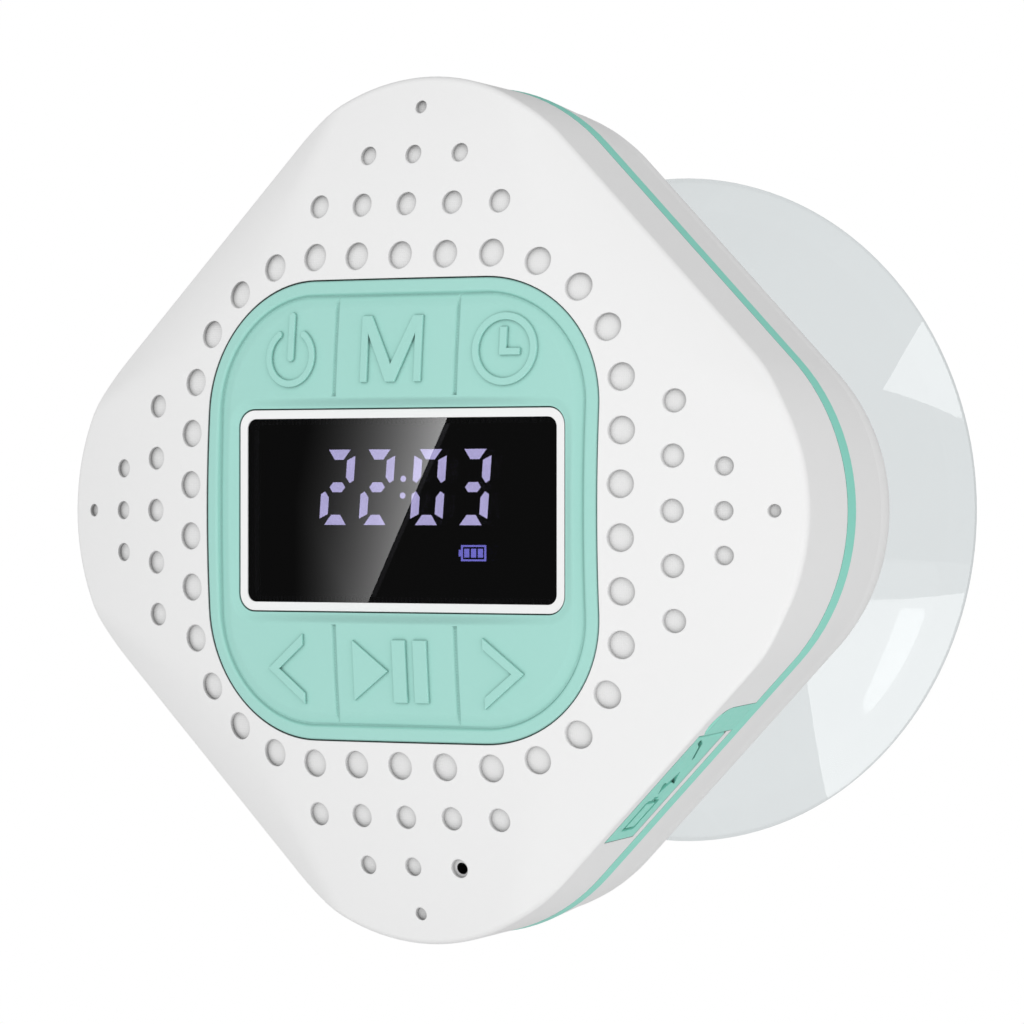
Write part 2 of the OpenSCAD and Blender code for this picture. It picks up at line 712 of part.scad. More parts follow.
module ears(low, high) difference() {
    slab(low, high) intersection() {
        circle(31);
        union() for (a = [0, 90]) rotate([0, 0, a]) square([64, 7], center = true);
    }
    slab(low - 1, high + 1) circle(24);
    boss_pillars(low - 1, high + 1, 1.1, posts);
}

module driver_basket() color([0.2, 0.2, 0.22]) from_wall() {
    difference() {
        rotate_extrude() polygon([[7.9, 57], [17, 57], [24.4, 66], [25.6, 66], [25.6, driver_face],
                                  [23.4, driver_face], [16.4, 58], [7.9, 58]]);
        for (k = [0 : 3]) rotate([0, 0, 90 * k]) translate([17.5, -4, 58.6]) cube([7, 8, 6]);
    }
    ears(66, driver_face);
}

module driver_gasket() color([0.15, 0.15, 0.15]) from_wall() tube(25.2, 23.7, driver_face + 0.3, driver_face + 1.6);

module driver_magnet() color([0.3, 0.3, 0.32]) from_wall() tube(17.5, 9, 48, 54.6);

module driver_yoke() color([0.6, 0.6, 0.62]) from_wall() {
    translate([0, 0, 45]) cylinder(r = 16.6, h = 3);
    translate([0, 0, 48 - eps]) cylinder(r = 6.4, h = 9);
}

module driver_top_plate() color([0.6, 0.6, 0.62]) from_wall() tube(16.2, 7.7, 54.6, 57);

module driver_surround() color([0.12, 0.12, 0.12]) from_wall() rotate_extrude() {
    translate([21.8, driver_face]) intersection() {
        difference() {
            circle(1.5, $fn = 48);
            circle(1.1, $fn = 48);
        }
        translate([-2, 0]) square([4, 3]);
    }
    translate([23.1, driver_face]) square([2.1, 0.3]);
    translate([19.2, driver_face]) square([1.3, 0.3]);
}

module driver_spider() color([0.75, 0.6, 0.35]) from_wall() tube(16.2, 8.4, 58, 58.5);

module cone() color([0.12, 0.12, 0.13]) from_wall()
    rotate_extrude() polygon([[7.35, 60.2], [7.35, 61], [19.2, driver_face], [20.5, driver_face], [20.5, 66.7]]);

module dust_cap() color([0.08, 0.08, 0.08]) from_wall() intersection() {
    difference() {
        translate([0, 0, 51.6]) sphere(13.2);
        translate([0, 0, 51.6]) sphere(12.8);
    }
    translate([0, 0, 61.65]) cylinder(r = 12, h = 8);
}

module voice_coil() color([0.75, 0.4, 0.15]) from_wall() tube(7.32, 6.85, 52.5, 61.2);

// ---- stem and screws ----

module stem_cap() color(white) from_wall() difference() {
    slab(43.1, 44.4) circle(13.4);
    slab(42, 43.5) circle(10);
}

module shell_screws_set() color([0.7, 0.7, 0.72]) from_wall() turned() for (p = shell_screws)
    translate([p[0], p[1], 40.4]) difference() {
        union() {
            translate([0, 0, -1.8]) cylinder(r = 2.6, h = 1.8);
            translate([0, 0, -eps]) cylinder(r = 1.02, h = 26);
        }
        translate([0, 0, -1.8]) cube([3.2, 0.7, 1.8], center = true);
        translate([0, 0, -1.8]) cube([0.7, 3.2, 1.8], center = true);
    }

// ---- nodes ----

suction_cup();
front_shell();
rear_shell();
trim_ring();
port_flap();
control_pad();
for (i = [0 : 5]) key(i);
for (i = [0 : 5]) pill(i);
display_frame();
display_window();
display_module();
digit_segments();
battery_indicator();
key_board();
key_contacts();
board_spacers();
key_board_screws();
grille_mesh();
microphone();
microphone_boot();
usb_shell();
usb_tongue();
main_board();
board_chips();
main_board_screws();
ribbon_cable();
battery_cell();
battery_tape();
battery_wires();
speaker_wires();
driver_basket();
driver_gasket();
driver_magnet();
driver_yoke();
driver_top_plate();
driver_surround();
driver_spider();
cone();
dust_cap();
voice_coil();
stem_cap();
shell_screws_set();
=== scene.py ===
"""Shower speaker: the looks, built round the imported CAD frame.

Shapes are worked out in the front view, in millimetres: x to the right, y up, h out from the wall.
world() turns such a point into the row frame, in metres.
"""
import json
import math

import bpy
import numpy as np
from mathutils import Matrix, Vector, geometry

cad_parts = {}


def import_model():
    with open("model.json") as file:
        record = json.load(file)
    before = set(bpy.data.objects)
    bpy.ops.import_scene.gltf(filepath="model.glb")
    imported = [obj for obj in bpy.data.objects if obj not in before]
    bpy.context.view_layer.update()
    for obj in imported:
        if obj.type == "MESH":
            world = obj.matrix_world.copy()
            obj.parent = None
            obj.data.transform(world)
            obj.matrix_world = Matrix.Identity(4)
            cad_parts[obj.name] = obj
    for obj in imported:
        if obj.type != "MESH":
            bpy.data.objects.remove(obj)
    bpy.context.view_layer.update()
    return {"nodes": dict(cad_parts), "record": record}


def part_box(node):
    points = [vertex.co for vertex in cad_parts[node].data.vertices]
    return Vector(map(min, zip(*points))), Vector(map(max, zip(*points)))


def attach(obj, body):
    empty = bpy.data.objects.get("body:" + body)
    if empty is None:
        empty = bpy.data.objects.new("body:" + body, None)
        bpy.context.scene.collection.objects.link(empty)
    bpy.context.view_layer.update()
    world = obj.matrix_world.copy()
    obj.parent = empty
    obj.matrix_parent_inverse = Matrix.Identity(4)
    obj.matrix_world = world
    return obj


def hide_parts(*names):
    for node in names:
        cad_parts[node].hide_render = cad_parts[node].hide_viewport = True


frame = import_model()
NODES = frame["nodes"]
RECORD = frame["record"]


MM = 0.001
R2 = math.sqrt(0.5)

# ---------------------------------------------------------------- sizes read from the frame, in mm


def box_mm(node):
    """Lowest and highest x, y and h of a node, in the front view."""
    low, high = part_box(node)
    return (low.x / MM, low.z / MM, -high.y / MM), (high.x / MM, high.z / MM, -low.y / MM)


RING = box_mm("trim_ring")
FRONT = box_mm("front_shell")
FRAME = box_mm("display_frame")
WINDOW = box_mm("display_window")
CUP = box_mm("suction_cup")
SEAM_HIGH = FRONT[0][2]
CORNER = 28.9
TIP = RING[1][0]
HALF = (TIP - CORNER + CORNER * math.sqrt(2)) / math.sqrt(2)
FACE_HALF = 51.3
FACE_CORNER = 30.4
FACE_EDGE = 70.3
DOME_TOP = 81.0
DOME_R = 180.0
PAD_HALF = 31.7
PAD_CORNER = 17.8
FRAME_X = FRAME[1][0]
FRAME_Y = FRAME[1][1]
FRAME_TOP = FRAME[1][2]
FRAME_CORNER = 2.4


def world(x, y, h):
    return np.stack([np.asarray(x) * MM, -np.asarray(h) * MM, np.asarray(y) * MM], -1)


def world_n(x, y, h):
    n = np.stack([np.asarray(x, float), -np.asarray(h, float), np.asarray(y, float)], -1)
    return n / np.maximum(np.linalg.norm(n, axis=-1, keepdims=True), 1e-9)


def sideways(n):
    """Directions in the front view, as normals of the row frame."""
    return world_n(n[:, 0], n[:, 1], 0 * n[:, 0])


def unit(n):
    return n / np.linalg.norm(n, axis=-1, keepdims=True)


def laid(points, height):
    """Points of the front view, lifted to a height function."""
    return world(points[:, 0], points[:, 1], height(points[:, 0], points[:, 1]))


# ---------------------------------------------------------------- mesh building


class Skin:
    """Collects pieces of surface, each with its own vertex normals."""

    def __init__(self):
        self.co, self.no, self.faces, self.count = [], [], [], 0

    def add(self, co, no, faces):
        co = np.asarray(co, float).reshape(-1, 3)
        no = np.asarray(no, float).reshape(-1, 3)
        faces = np.asarray(faces, int)
        a, b, c = co[faces[:, 0]], co[faces[:, 1]], co[faces[:, 2]]
        flat = np.cross(b - a, c - a)
        wrong = (flat * no[faces].mean(1)).sum(-1) < 0
        faces[wrong] = faces[wrong][:, ::-1]
        keep = np.linalg.norm(flat, axis=-1) > 1e-14
        if faces.shape[1] == 4:
            d = co[faces[:, 3]]
            keep = keep | (np.linalg.norm(np.cross(c - a, d - a), axis=-1) > 1e-14)
        self.co.append(co)
        self.no.append(no)
        self.faces += (faces[keep] + self.count).tolist()
        self.count += len(co)

    def strip(self, rows, normals, closed=True):
        """Quads between rows of points; each row is (n, 3)."""
        rows, normals = np.asarray(rows, float), np.asarray(normals, float)
        m, n = rows.shape[:2]
        i, j = np.meshgrid(np.arange(m - 1), np.arange(n if closed else n - 1), indexing="ij")
        k = (j + 1) % n
        quads = np.stack([i * n + j, i * n + k, (i + 1) * n + k, (i + 1) * n + j], -1).reshape(-1, 4)
        self.add(rows.reshape(-1, 3), normals.reshape(-1, 3), quads)

    def make(self, name, material, body, slot):
        mesh = bpy.data.meshes.new(name)
        mesh.from_pydata(np.concatenate(self.co).tolist(), [], self.faces)
        mesh.polygons.foreach_set("use_smooth", [True] * len(mesh.polygons))
        mesh.normals_split_custom_set_from_vertices(np.concatenate(self.no).tolist())
        mesh.materials.append(material)
        o = bpy.data.objects.new(name, mesh)
        bpy.context.scene.collection.objects.link(o)
        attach(o, body)
        return o


def cdt(points, loops):
    """Triangles over points, with the closed loops of indices kept as edges."""
    edges = [(loop[i], loop[(i + 1) % len(loop)]) for loop in loops for i in range(len(loop))]
    out = geometry.delaunay_2d_cdt([Vector(p) for p in points], edges, [], 0, 1e-7, False)
    tris = np.array([f for f in out[2] if len(f) == 3], int)
    return np.array([[v.x, v.y] for v in out[0]]), tris


def fill(loops, inside, spacing, margin):
    """Triangulates where inside(x, y) > 0, with the loops as exact edges and a grid of points between."""
    points = np.concatenate([np.asarray(p, float) for p in loops])
    low, high = points.min(0), points.max(0)
    xs = np.arange(low[0], high[0] + spacing, spacing)
    ys = np.arange(low[1], high[1] + spacing, spacing * math.sqrt(3) / 2)
    gx, gy = np.meshgrid(xs, ys)
    gx = gx + (np.arange(len(ys)) % 2)[:, None] * spacing / 2
    grid = np.stack([gx.ravel(), gy.ravel()], -1)
    grid = grid[inside(grid[:, 0], grid[:, 1]) > margin]
    index, start = [], 0
    for loop in loops:
        index.append(list(range(start, start + len(loop))))
        start += len(loop)
    co, tris = cdt(np.concatenate([points, grid]), index)
    mid = co[tris].mean(1)
    return co, tris[inside(mid[:, 0], mid[:, 1]) > 0]


def rounded(x, y, half_x, half_y, corner):
    """Signed distance to a rounded rectangle, negative inside."""
    qx, qy = np.abs(x) - half_x + corner, np.abs(y) - half_y + corner
    out = np.hypot(np.maximum(qx, 0), np.maximum(qy, 0))
    return out + np.minimum(np.maximum(qx, qy), 0) - corner


def square_frame(x, y):
    """The same point seen square to the body's sides: along the lower right side, and away from it."""
    return (x + y) * R2, (y - x) * R2


def unturn(u, v):
    return (u - v) * R2, (u + v) * R2


def face_distance(x, y):
    u, v = square_frame(x, y)
    return rounded(u, v, FACE_HALF, FACE_HALF, FACE_CORNER)


def pad_distance(x, y):
    return rounded(x, y, PAD_HALF, PAD_HALF, PAD_CORNER)


def ring_points(half_x, half_y, corner, arc, flat_x, flat_y):
    """Points and outward normals round a rounded rectangle, starting on its right side, anticlockwise."""
    pts, nrm = [], []
    for k in range(4):
        a = math.pi / 2 * k
        n = np.array([math.cos(a), math.sin(a)])
        t = np.array([-n[1], n[0]])
        reach = half_x if k % 2 == 0 else half_y
        along = (half_y if k % 2 == 0 else half_x) - corner
        count = flat_y if k % 2 == 0 else flat_x
        for s in np.linspace(-along, along, count + 1)[:-1]:
            pts.append(n * reach + t * s)
            nrm.append(n)
        centre = n * (reach - corner) + t * along
        for b in np.linspace(0, math.pi / 2, arc + 1)[:-1]:
            d = np.array([math.cos(a + b), math.sin(a + b)])
            pts.append(centre + d * corner)
            nrm.append(d)
    return np.array(pts), np.array(nrm)


def arc_points(cx, cy, r, a0, a1, count):
    return [(cx + r * math.cos(a), cy + r * math.sin(a)) for a in np.linspace(a0, a1, count)]


def smooth(a, b, v):
    t = np.clip((v - a) / (b - a), 0, 1)
    return t * t * (3 - 2 * t)


def smin(a, b, k):
    """The lesser of two heights, blended where they are close."""
    return np.minimum(a, b) - np.maximum(k - np.abs(a - b), 0) ** 2 / (4 * k)


def normal_of(height, x, y, step=0.02):
    """Upward normals of a height function, in the row frame."""
    dx = (height(x + step, y) - height(x - step, y)) / (2 * step)
    dy = (height(x, y + step) - height(x, y - step)) / (2 * step)
    return world_n(-dx, -dy, np.ones_like(dx))


# ---------------------------------------------------------------- the domed face

ROLL_START = 36.0
ROLL_R = 36.3
LEAN = math.asin(ROLL_START / DOME_R)
ROLL_X = ROLL_START - ROLL_R * math.sin(LEAN)
ROLL_LIFT = 0.08
ROLL_H = DOME_TOP - DOME_R * (1 - math.cos(LEAN)) - ROLL_R * math.cos(LEAN) + ROLL_LIFT
BLEND = 0.5


def sphere_h(x, y):
    return DOME_TOP - DOME_R + np.sqrt(DOME_R ** 2 - x * x - y * y)


def roll_h(w):
    """The face's fall to one pair of sides: level with the dome inside, rolling over outside."""
    w = np.abs(w)
    inner = DOME_TOP - DOME_R + np.sqrt(DOME_R ** 2 - w * w) + ROLL_LIFT + 0.02 * (ROLL_START - w) ** 2
    outer = ROLL_H + np.sqrt(np.maximum(ROLL_R ** 2 - (w - ROLL_X) ** 2, 0.01))
    return np.where(w < ROLL_START, inner, outer)


def face_h(x, y):
    u, v = square_frame(x, y)
    return smin(smin(sphere_h(x, y), roll_h(u), BLEND), roll_h(v), BLEND)


# ---------------------------------------------------------------- materials


def linear(r, g, b):
    def one(c):
        c /= 255
        return c / 12.92 if c <= 0.04045 else ((c + 0.055) / 1.055) ** 2.4
    return (one(r), one(g), one(b), 1.0)


def new_material(name):
    m = bpy.data.materials.new(name)
    m.use_nodes = True
    t = m.node_tree
    t.nodes.clear()
    return m, t, t.nodes.new("ShaderNodeOutputMaterial")


def set_in(node, **values):
    for key, v in values.items():
        node.inputs[key.replace("_", " ")].default_value = v


def noise(t, scale, detail=3.0, rough=0.5, stretch=None):
    c = t.nodes.new("ShaderNodeTexCoord")
    n = t.nodes.new("ShaderNodeTexNoise")
    set_in(n, Scale=scale, Detail=detail, Roughness=rough)
    if stretch:
        m = t.nodes.new("ShaderNodeMapping")
        m.inputs["Scale"].default_value = stretch
        t.links.new(c.outputs["Object"], m.inputs["Vector"])
        t.links.new(m.outputs["Vector"], n.inputs["Vector"])
    else:
        t.links.new(c.outputs["Object"], n.inputs["Vector"])
    return n


def ramp(t, source, low, high, a=0.35, b=0.65):
    r = t.nodes.new("ShaderNodeMapRange")
    set_in(r, From_Min=a, From_Max=b, To_Min=low, To_Max=high)
    t.links.new(source, r.inputs["Value"])
    return r.outputs["Result"]


def tone(t, source, colour, amount):
    """The colour, varied a little from place to place."""
    m = t.nodes.new("ShaderNodeMix")
    m.data_type = "RGBA"
    m.inputs["A"].default_value = tuple(c * (1 - amount) for c in colour[:3]) + (1,)
    m.inputs["B"].default_value = tuple(min(1, c * (1 + amount)) for c in colour[:3]) + (1,)
    t.links.new(source, m.inputs["Factor"])
    return m.outputs["Result"]


def painted_crease_shade(t, source, crease_shade):
    """Painted shade: the colour, darkened by ambient occlusion where other surfaces crowd in: reach in
    metres, and the darkest share.
    """
    reach, darkest = crease_shade
    ao = t.nodes.new("ShaderNodeAmbientOcclusion")
    ao.samples = 8
    set_in(ao, Distance=reach)
    m = t.nodes.new("ShaderNodeMix")
    m.data_type = "RGBA"
    m.blend_type = "MULTIPLY"
    m.inputs["Factor"].default_value = 1.0
    t.links.new(source, m.inputs["A"])
    t.links.new(ramp(t, ao.outputs["AO"], darkest, 1.0, 0.25, 0.9), m.inputs["B"])
    return m.outputs["Result"]


BUMP_REACH = 0.0001
PATCH_SCALE = 35.0


def finish_material(name, colour, rough, grain, bump, tint, metal=0.0, edge=0.0, spec=0.5,
                    stretch=None, crease_shade=None):
    """A solid finish: broad patches of tone, a fine grain in gloss and relief, eased edges, and, where a
    crease setting is given, painted shade in creases.
    """
    m, t, out = new_material(name)
    p = t.nodes.new("ShaderNodeBsdfPrincipled")
    set_in(p, Metallic=metal)
    p.inputs["Specular IOR Level"].default_value = spec
    broad = noise(t, PATCH_SCALE, 2.0)
    fine = noise(t, grain, 2.0, 0.6, stretch=stretch)
    paint = tone(t, broad.outputs["Fac"], colour, tint)
    # Painted shade in creases and holes, where a crease setting is given.
    t.links.new(painted_crease_shade(t, paint, crease_shade) if crease_shade else paint, p.inputs["Base Color"])
    t.links.new(ramp(t, fine.outputs["Fac"], rough[0], rough[1]), p.inputs["Roughness"])
    b = t.nodes.new("ShaderNodeBump")
    set_in(b, Strength=bump, Distance=BUMP_REACH)
    t.links.new(fine.outputs["Fac"], b.inputs["Height"])
    if edge:
        e = t.nodes.new("ShaderNodeBevel")
        e.samples = 4
        set_in(e, Radius=edge)
        t.links.new(e.outputs["Normal"], b.inputs["Normal"])
    t.links.new(b.outputs["Normal"], p.inputs["Normal"])
    t.links.new(p.outputs["BSDF"], out.inputs["Surface"])
    return m


def woven(name, colour, pitch, depth, rough=0.8, tint=0.25, crease_shade=None):
    """A plain weave: two crossed sets of threads, with painted shade in creases where a crease setting is
    given.
    """
    m, t, out = new_material(name)
    p = t.nodes.new("ShaderNodeBsdfPrincipled")
    set_in(p, Roughness=rough)
    p.inputs["Specular IOR Level"].default_value = 0.2
    c = t.nodes.new("ShaderNodeTexCoord")
    threads = []
    for direction in ("X", "Z"):
        w = t.nodes.new("ShaderNodeTexWave")
        w.wave_type = "BANDS"
        w.bands_direction = direction
        set_in(w, Scale=1 / (pitch * 3.2), Distortion=0.0)
        t.links.new(c.outputs["Object"], w.inputs["Vector"])
        threads.append(w.outputs["Fac"])
    big = t.nodes.new("ShaderNodeMath")
    big.operation = "MAXIMUM"
    t.links.new(threads[0], big.inputs[0])
    t.links.new(threads[1], big.inputs[1])
    paint = tone(t, big.outputs["Value"], colour, tint)
    # Painted shade in creases and holes, where a crease setting is given.
    t.links.new(painted_crease_shade(t, paint, crease_shade) if crease_shade else paint, p.inputs["Base Color"])
    b = t.nodes.new("ShaderNodeBump")
    set_in(b, Strength=0.6, Distance=depth)
    t.links.new(big.outputs["Value"], b.inputs["Height"])
    t.links.new(b.outputs["Normal"], p.inputs["Normal"])
    t.links.new(p.outputs["BSDF"], out.inputs["Surface"])
    return m


def glowing(name, colour, strength):
    m, t, out = new_material(name)
    p = t.nodes.new("ShaderNodeBsdfPrincipled")
    set_in(p, Roughness=0.5)
    p.inputs["Base Color"].default_value = tuple(c * 0.3 for c in colour[:3]) + (1,)
    n = noise(t, 420.0, 2.0)
    t.links.new(tone(t, n.outputs["Fac"], colour, 0.14), p.inputs["Emission Color"])
    p.inputs["Emission Strength"].default_value = strength
    t.links.new(p.outputs["BSDF"], out.inputs["Surface"])
    return m


def clear(name, colour, rough, haze, ior=1.45, most=1.0):
    """A clear shell: light goes straight through, tinted, with a sharp reflection on top."""
    m, t, out = new_material(name)
    through = t.nodes.new("ShaderNodeBsdfTransparent")
    through.inputs["Color"].default_value = colour
    shine = t.nodes.new("ShaderNodeBsdfGlossy")
    soft = t.nodes.new("ShaderNodeBsdfDiffuse")
    soft.inputs["Color"].default_value = linear(236, 240, 241)
    n = noise(t, 60.0, 2.0)
    t.links.new(ramp(t, n.outputs["Fac"], rough[0], rough[1]), shine.inputs["Roughness"])
    t.links.new(ramp(t, n.outputs["Fac"], haze[0], haze[1]), soft.inputs["Roughness"])
    body = t.nodes.new("ShaderNodeMixShader")
    t.links.new(ramp(t, n.outputs["Fac"], haze[0], haze[1]), body.inputs["Fac"])
    t.links.new(through.outputs["BSDF"], body.inputs[1])
    t.links.new(soft.outputs["BSDF"], body.inputs[2])
    f = t.nodes.new("ShaderNodeFresnel")
    set_in(f, IOR=ior)
    cap = t.nodes.new("ShaderNodeMath")
    cap.operation = "MINIMUM"
    cap.inputs[1].default_value = most
    t.links.new(f.outputs["Fac"], cap.inputs[0])
    mix = t.nodes.new("ShaderNodeMixShader")
    t.links.new(cap.outputs["Value"], mix.inputs["Fac"])
    t.links.new(body.outputs["Shader"], mix.inputs[1])
    t.links.new(shine.outputs["BSDF"], mix.inputs[2])
    t.links.new(mix.outputs["Shader"], out.inputs["Surface"])
    return m


# For each plain finish: colour, lowest and highest roughness, how fine its grain is, the grain's relief,
# how much its tone varies, and the rest by name; a crease setting paints shade into creases, holes and gaps.
FINISHES = {
    "white_shell": ((240, 240, 240), (0.5, 0.62), 1400, 0.05, 0.006,
                    dict(edge=0.00012, spec=0.3, crease_shade=(0.0012, 0.3))),
    "mint_ring": ((144, 224, 207), (0.42, 0.6), 1600, 0.06, 0.02, dict(edge=0.0001, crease_shade=(0.0006, 0.35))),
    "mint_silicone": ((167, 220, 210), (0.46, 0.66), 1800, 0.06, 0.015, dict(crease_shade=(0.0006, 0.45))),
    "white_frame": ((246, 246, 246), (0.12, 0.2), 700, 0.01, 0.004, dict(edge=0.0001)),
    "display_black": ((9, 10, 12), (0.5, 0.7), 900, 0.02, 0.05, dict(spec=0.1)),
    "circuit_board": ((22, 92, 58), (0.25, 0.4), 500, 0.05, 0.25, {}),
    "gold_contact": ((230, 190, 96), (0.2, 0.35), 2500, 0.05, 0.06, dict(metal=1.0)),
    "brass_spacer": ((200, 168, 100), (0.25, 0.4), 2500, 0.08, 0.08,
                     dict(metal=1.0, stretch=(1, 12, 1), edge=0.0001)),
    "screw_steel": ((196, 196, 200), (0.22, 0.4), 2200, 0.08, 0.08, dict(metal=1.0, edge=0.0001)),
    "metal_can": ((190, 190, 194), (0.2, 0.35), 1800, 0.05, 0.05, dict(metal=1.0, edge=0.0001)),
    "black_rubber": ((34, 34, 35), (0.6, 0.8), 1500, 0.1, 0.1, {}),
    "black_plastic": ((38, 38, 40), (0.4, 0.6), 1300, 0.08, 0.1, dict(edge=0.0002)),
    "ribbon_film": ((216, 206, 176), (0.3, 0.45), 800, 0.05, 0.06, dict(stretch=(14, 1, 1))),
    "battery_sleeve": ((44, 108, 176), (0.18, 0.3), 300, 0.05, 0.05, dict(edge=0.0004)),
    "amber_tape": ((214, 158, 52), (0.15, 0.3), 260, 0.1, 0.12, {}),
    "red_wire": ((178, 30, 30), (0.35, 0.5), 900, 0.03, 0.05, dict(edge=0.0003)),
    "black_foam": ((40, 40, 41), (0.85, 0.98), 2600, 0.5, 0.2, {}),
    "ferrite": ((72, 72, 76), (0.5, 0.75), 700, 0.2, 0.15, dict(edge=0.0004)),
    "zinc_plate": ((176, 180, 186), (0.25, 0.5), 400, 0.05, 0.1, dict(metal=1.0, edge=0.0003)),
    "cone_paper": ((40, 40, 42), (0.7, 0.9), 900, 0.3, 0.15, {}),
    "copper": ((186, 110, 62), (0.25, 0.4), 3000, 0.3, 0.1, dict(metal=1.0, stretch=(1, 10, 1))),
    "carbon_pill": ((26, 26, 27), (0.7, 0.9), 1400, 0.1, 0.1, {}),
}
MATERIALS = {
    "clear_pvc": clear("clear_pvc", (0.872, 0.892, 0.897, 1), (0.02, 0.05), (0.02, 0.04), most=0.12),
    "smoked_window": clear("smoked_window", (0.16, 0.16, 0.17, 1), (0.0, 0.004), (0.0, 0.0), 1.5, most=0.1),
    "digit_light": glowing("digit_light", linear(208, 200, 242), 27.0),
    "icon_light": glowing("icon_light", linear(140, 136, 236), 25.0),
    # The cloth's crease setting paints shade in the holes, darker near their walls.
    "grey_mesh": woven("grey_mesh", linear(232, 232, 232), 0.00032, 0.00004, 0.8, 0.03,
                       crease_shade=(0.0014, 0.45)),
    "spider_cloth": woven("spider_cloth", linear(176, 148, 92), 0.0006, 0.0001),
}
for finish_name, (colour, rough, grain, bump, tint, more) in FINISHES.items():
    MATERIALS[finish_name] = finish_material(finish_name, linear(*colour), rough, grain, bump, tint, **more)
slot_of = {s["node"]: s["material_slot"] for s in RECORD["subparts"]}
for node_name, o in NODES.items():
    o.data.materials.clear()
    o.data.materials.append(MATERIALS[slot_of[node_name]])

# ---------------------------------------------------------------- front shell

RHO = 1.2
SIDE_WALL = 2.2
SEAM_EASE = 0.12
SEAM_EASE_SHARE = 0.0115
PAD_GAP = 0.12
BODY_P, BODY_N = ring_points(HALF, HALF, CORNER, 30, 30, 30)
EDGE_P, _ = ring_points(FACE_HALF, FACE_HALF, FACE_CORNER, 30, 30, 30)
BX, BY = unturn(BODY_P[:, 0], BODY_P[:, 1])
EX, EY = unturn(EDGE_P[:, 0], EDGE_P[:, 1])
NX, NY = unturn(BODY_N[:, 0], BODY_N[:, 1])
EDGE_H = face_h(EX, EY)
ALPHA = np.arctan((face_h(EX - NX * 0.8, EY - NY * 0.8) - EDGE_H) / 0.8)
LEAN_OUT = np.arctan(((EX - BX) * NX + (EY - BY) * NY) / (EDGE_H - SEAM_HIGH))
TANGENT = RHO / np.tan((math.pi / 2 + ALPHA - LEAN_OUT) / 2)
WALL_N = world_n(NX * np.cos(LEAN_OUT), NY * np.cos(LEAN_OUT), -np.sin(LEAN_OUT))
SIDE_LEAN = math.atan((FACE_HALF - HALF) / (FACE_EDGE - SEAM_HIGH))


def on_side(t, rise, depth):
    """A point of the lower right side's plane, or a depth behind it; rise is measured up the lean."""
    t, up = np.asarray(t, float), np.asarray(rise, float) - SEAM_HIGH
    v = -HALF + depth * math.cos(SIDE_LEAN) - up * math.sin(SIDE_LEAN)
    x, y = unturn(t, v)
    return world(x, y, SEAM_HIGH + depth * math.sin(SIDE_LEAN) + up * math.cos(SIDE_LEAN))


def side_normal(along, up, out):
    """A direction given along the side, up its lean and out of it."""
    c, k = math.cos(SIDE_LEAN), math.sin(SIDE_LEAN)
    nx, ny = unturn(np.asarray(along, float), -out * c - np.asarray(up, float) * k)
    return world_n(nx, ny, np.asarray(up, float) * c - out * k)


def hole_list():
    """Centre and radius of each sound hole: the ring round the pad, then the rows in the corners."""
    half, corner, count = 35.0, 20.7, 34
    flat, arc = half - corner, math.pi / 2 * corner
    side = 2 * flat + arc
    holes = []
    for i in range(count):
        s = i * 4 * side / count
        k, s = int(s // side), s % side
        if s <= flat:
            p = (s, half)
        elif s <= flat + arc:
            a = (s - flat) / corner
            p = (flat + corner * math.sin(a), flat + corner * math.cos(a))
        else:
            p = (half, flat - (s - flat - arc))
        for _ in range(k):
            p = (p[1], -p[0])
        holes.append((p[0], p[1], 1.9))
    for k in range(4):
        c, s = [(1, 0), (0, 1), (-1, 0), (0, -1)][k]
        rows = [(42.1, 7.35, 2, 1.6), (49.0, 7.45 if k % 2 == 0 else 5.95, 1, 1.28), (55.6, 0, 0, 0.88)]
        for place, pitch, last, r in rows:
            for i in range(-last, last + 1):
                x, y = i * pitch, place
                holes.append((x * c - y * s, x * s + y * c, r))
    return holes


HOLES = np.array(hole_list())
HOLE_EDGE = 0.14
HOLE_SEGMENTS = 36
FACE_WALL = 0.8
FABRIC_DEPTH = 0.78
FABRIC_IN = 2.3
FABRIC_GAP = 0.4


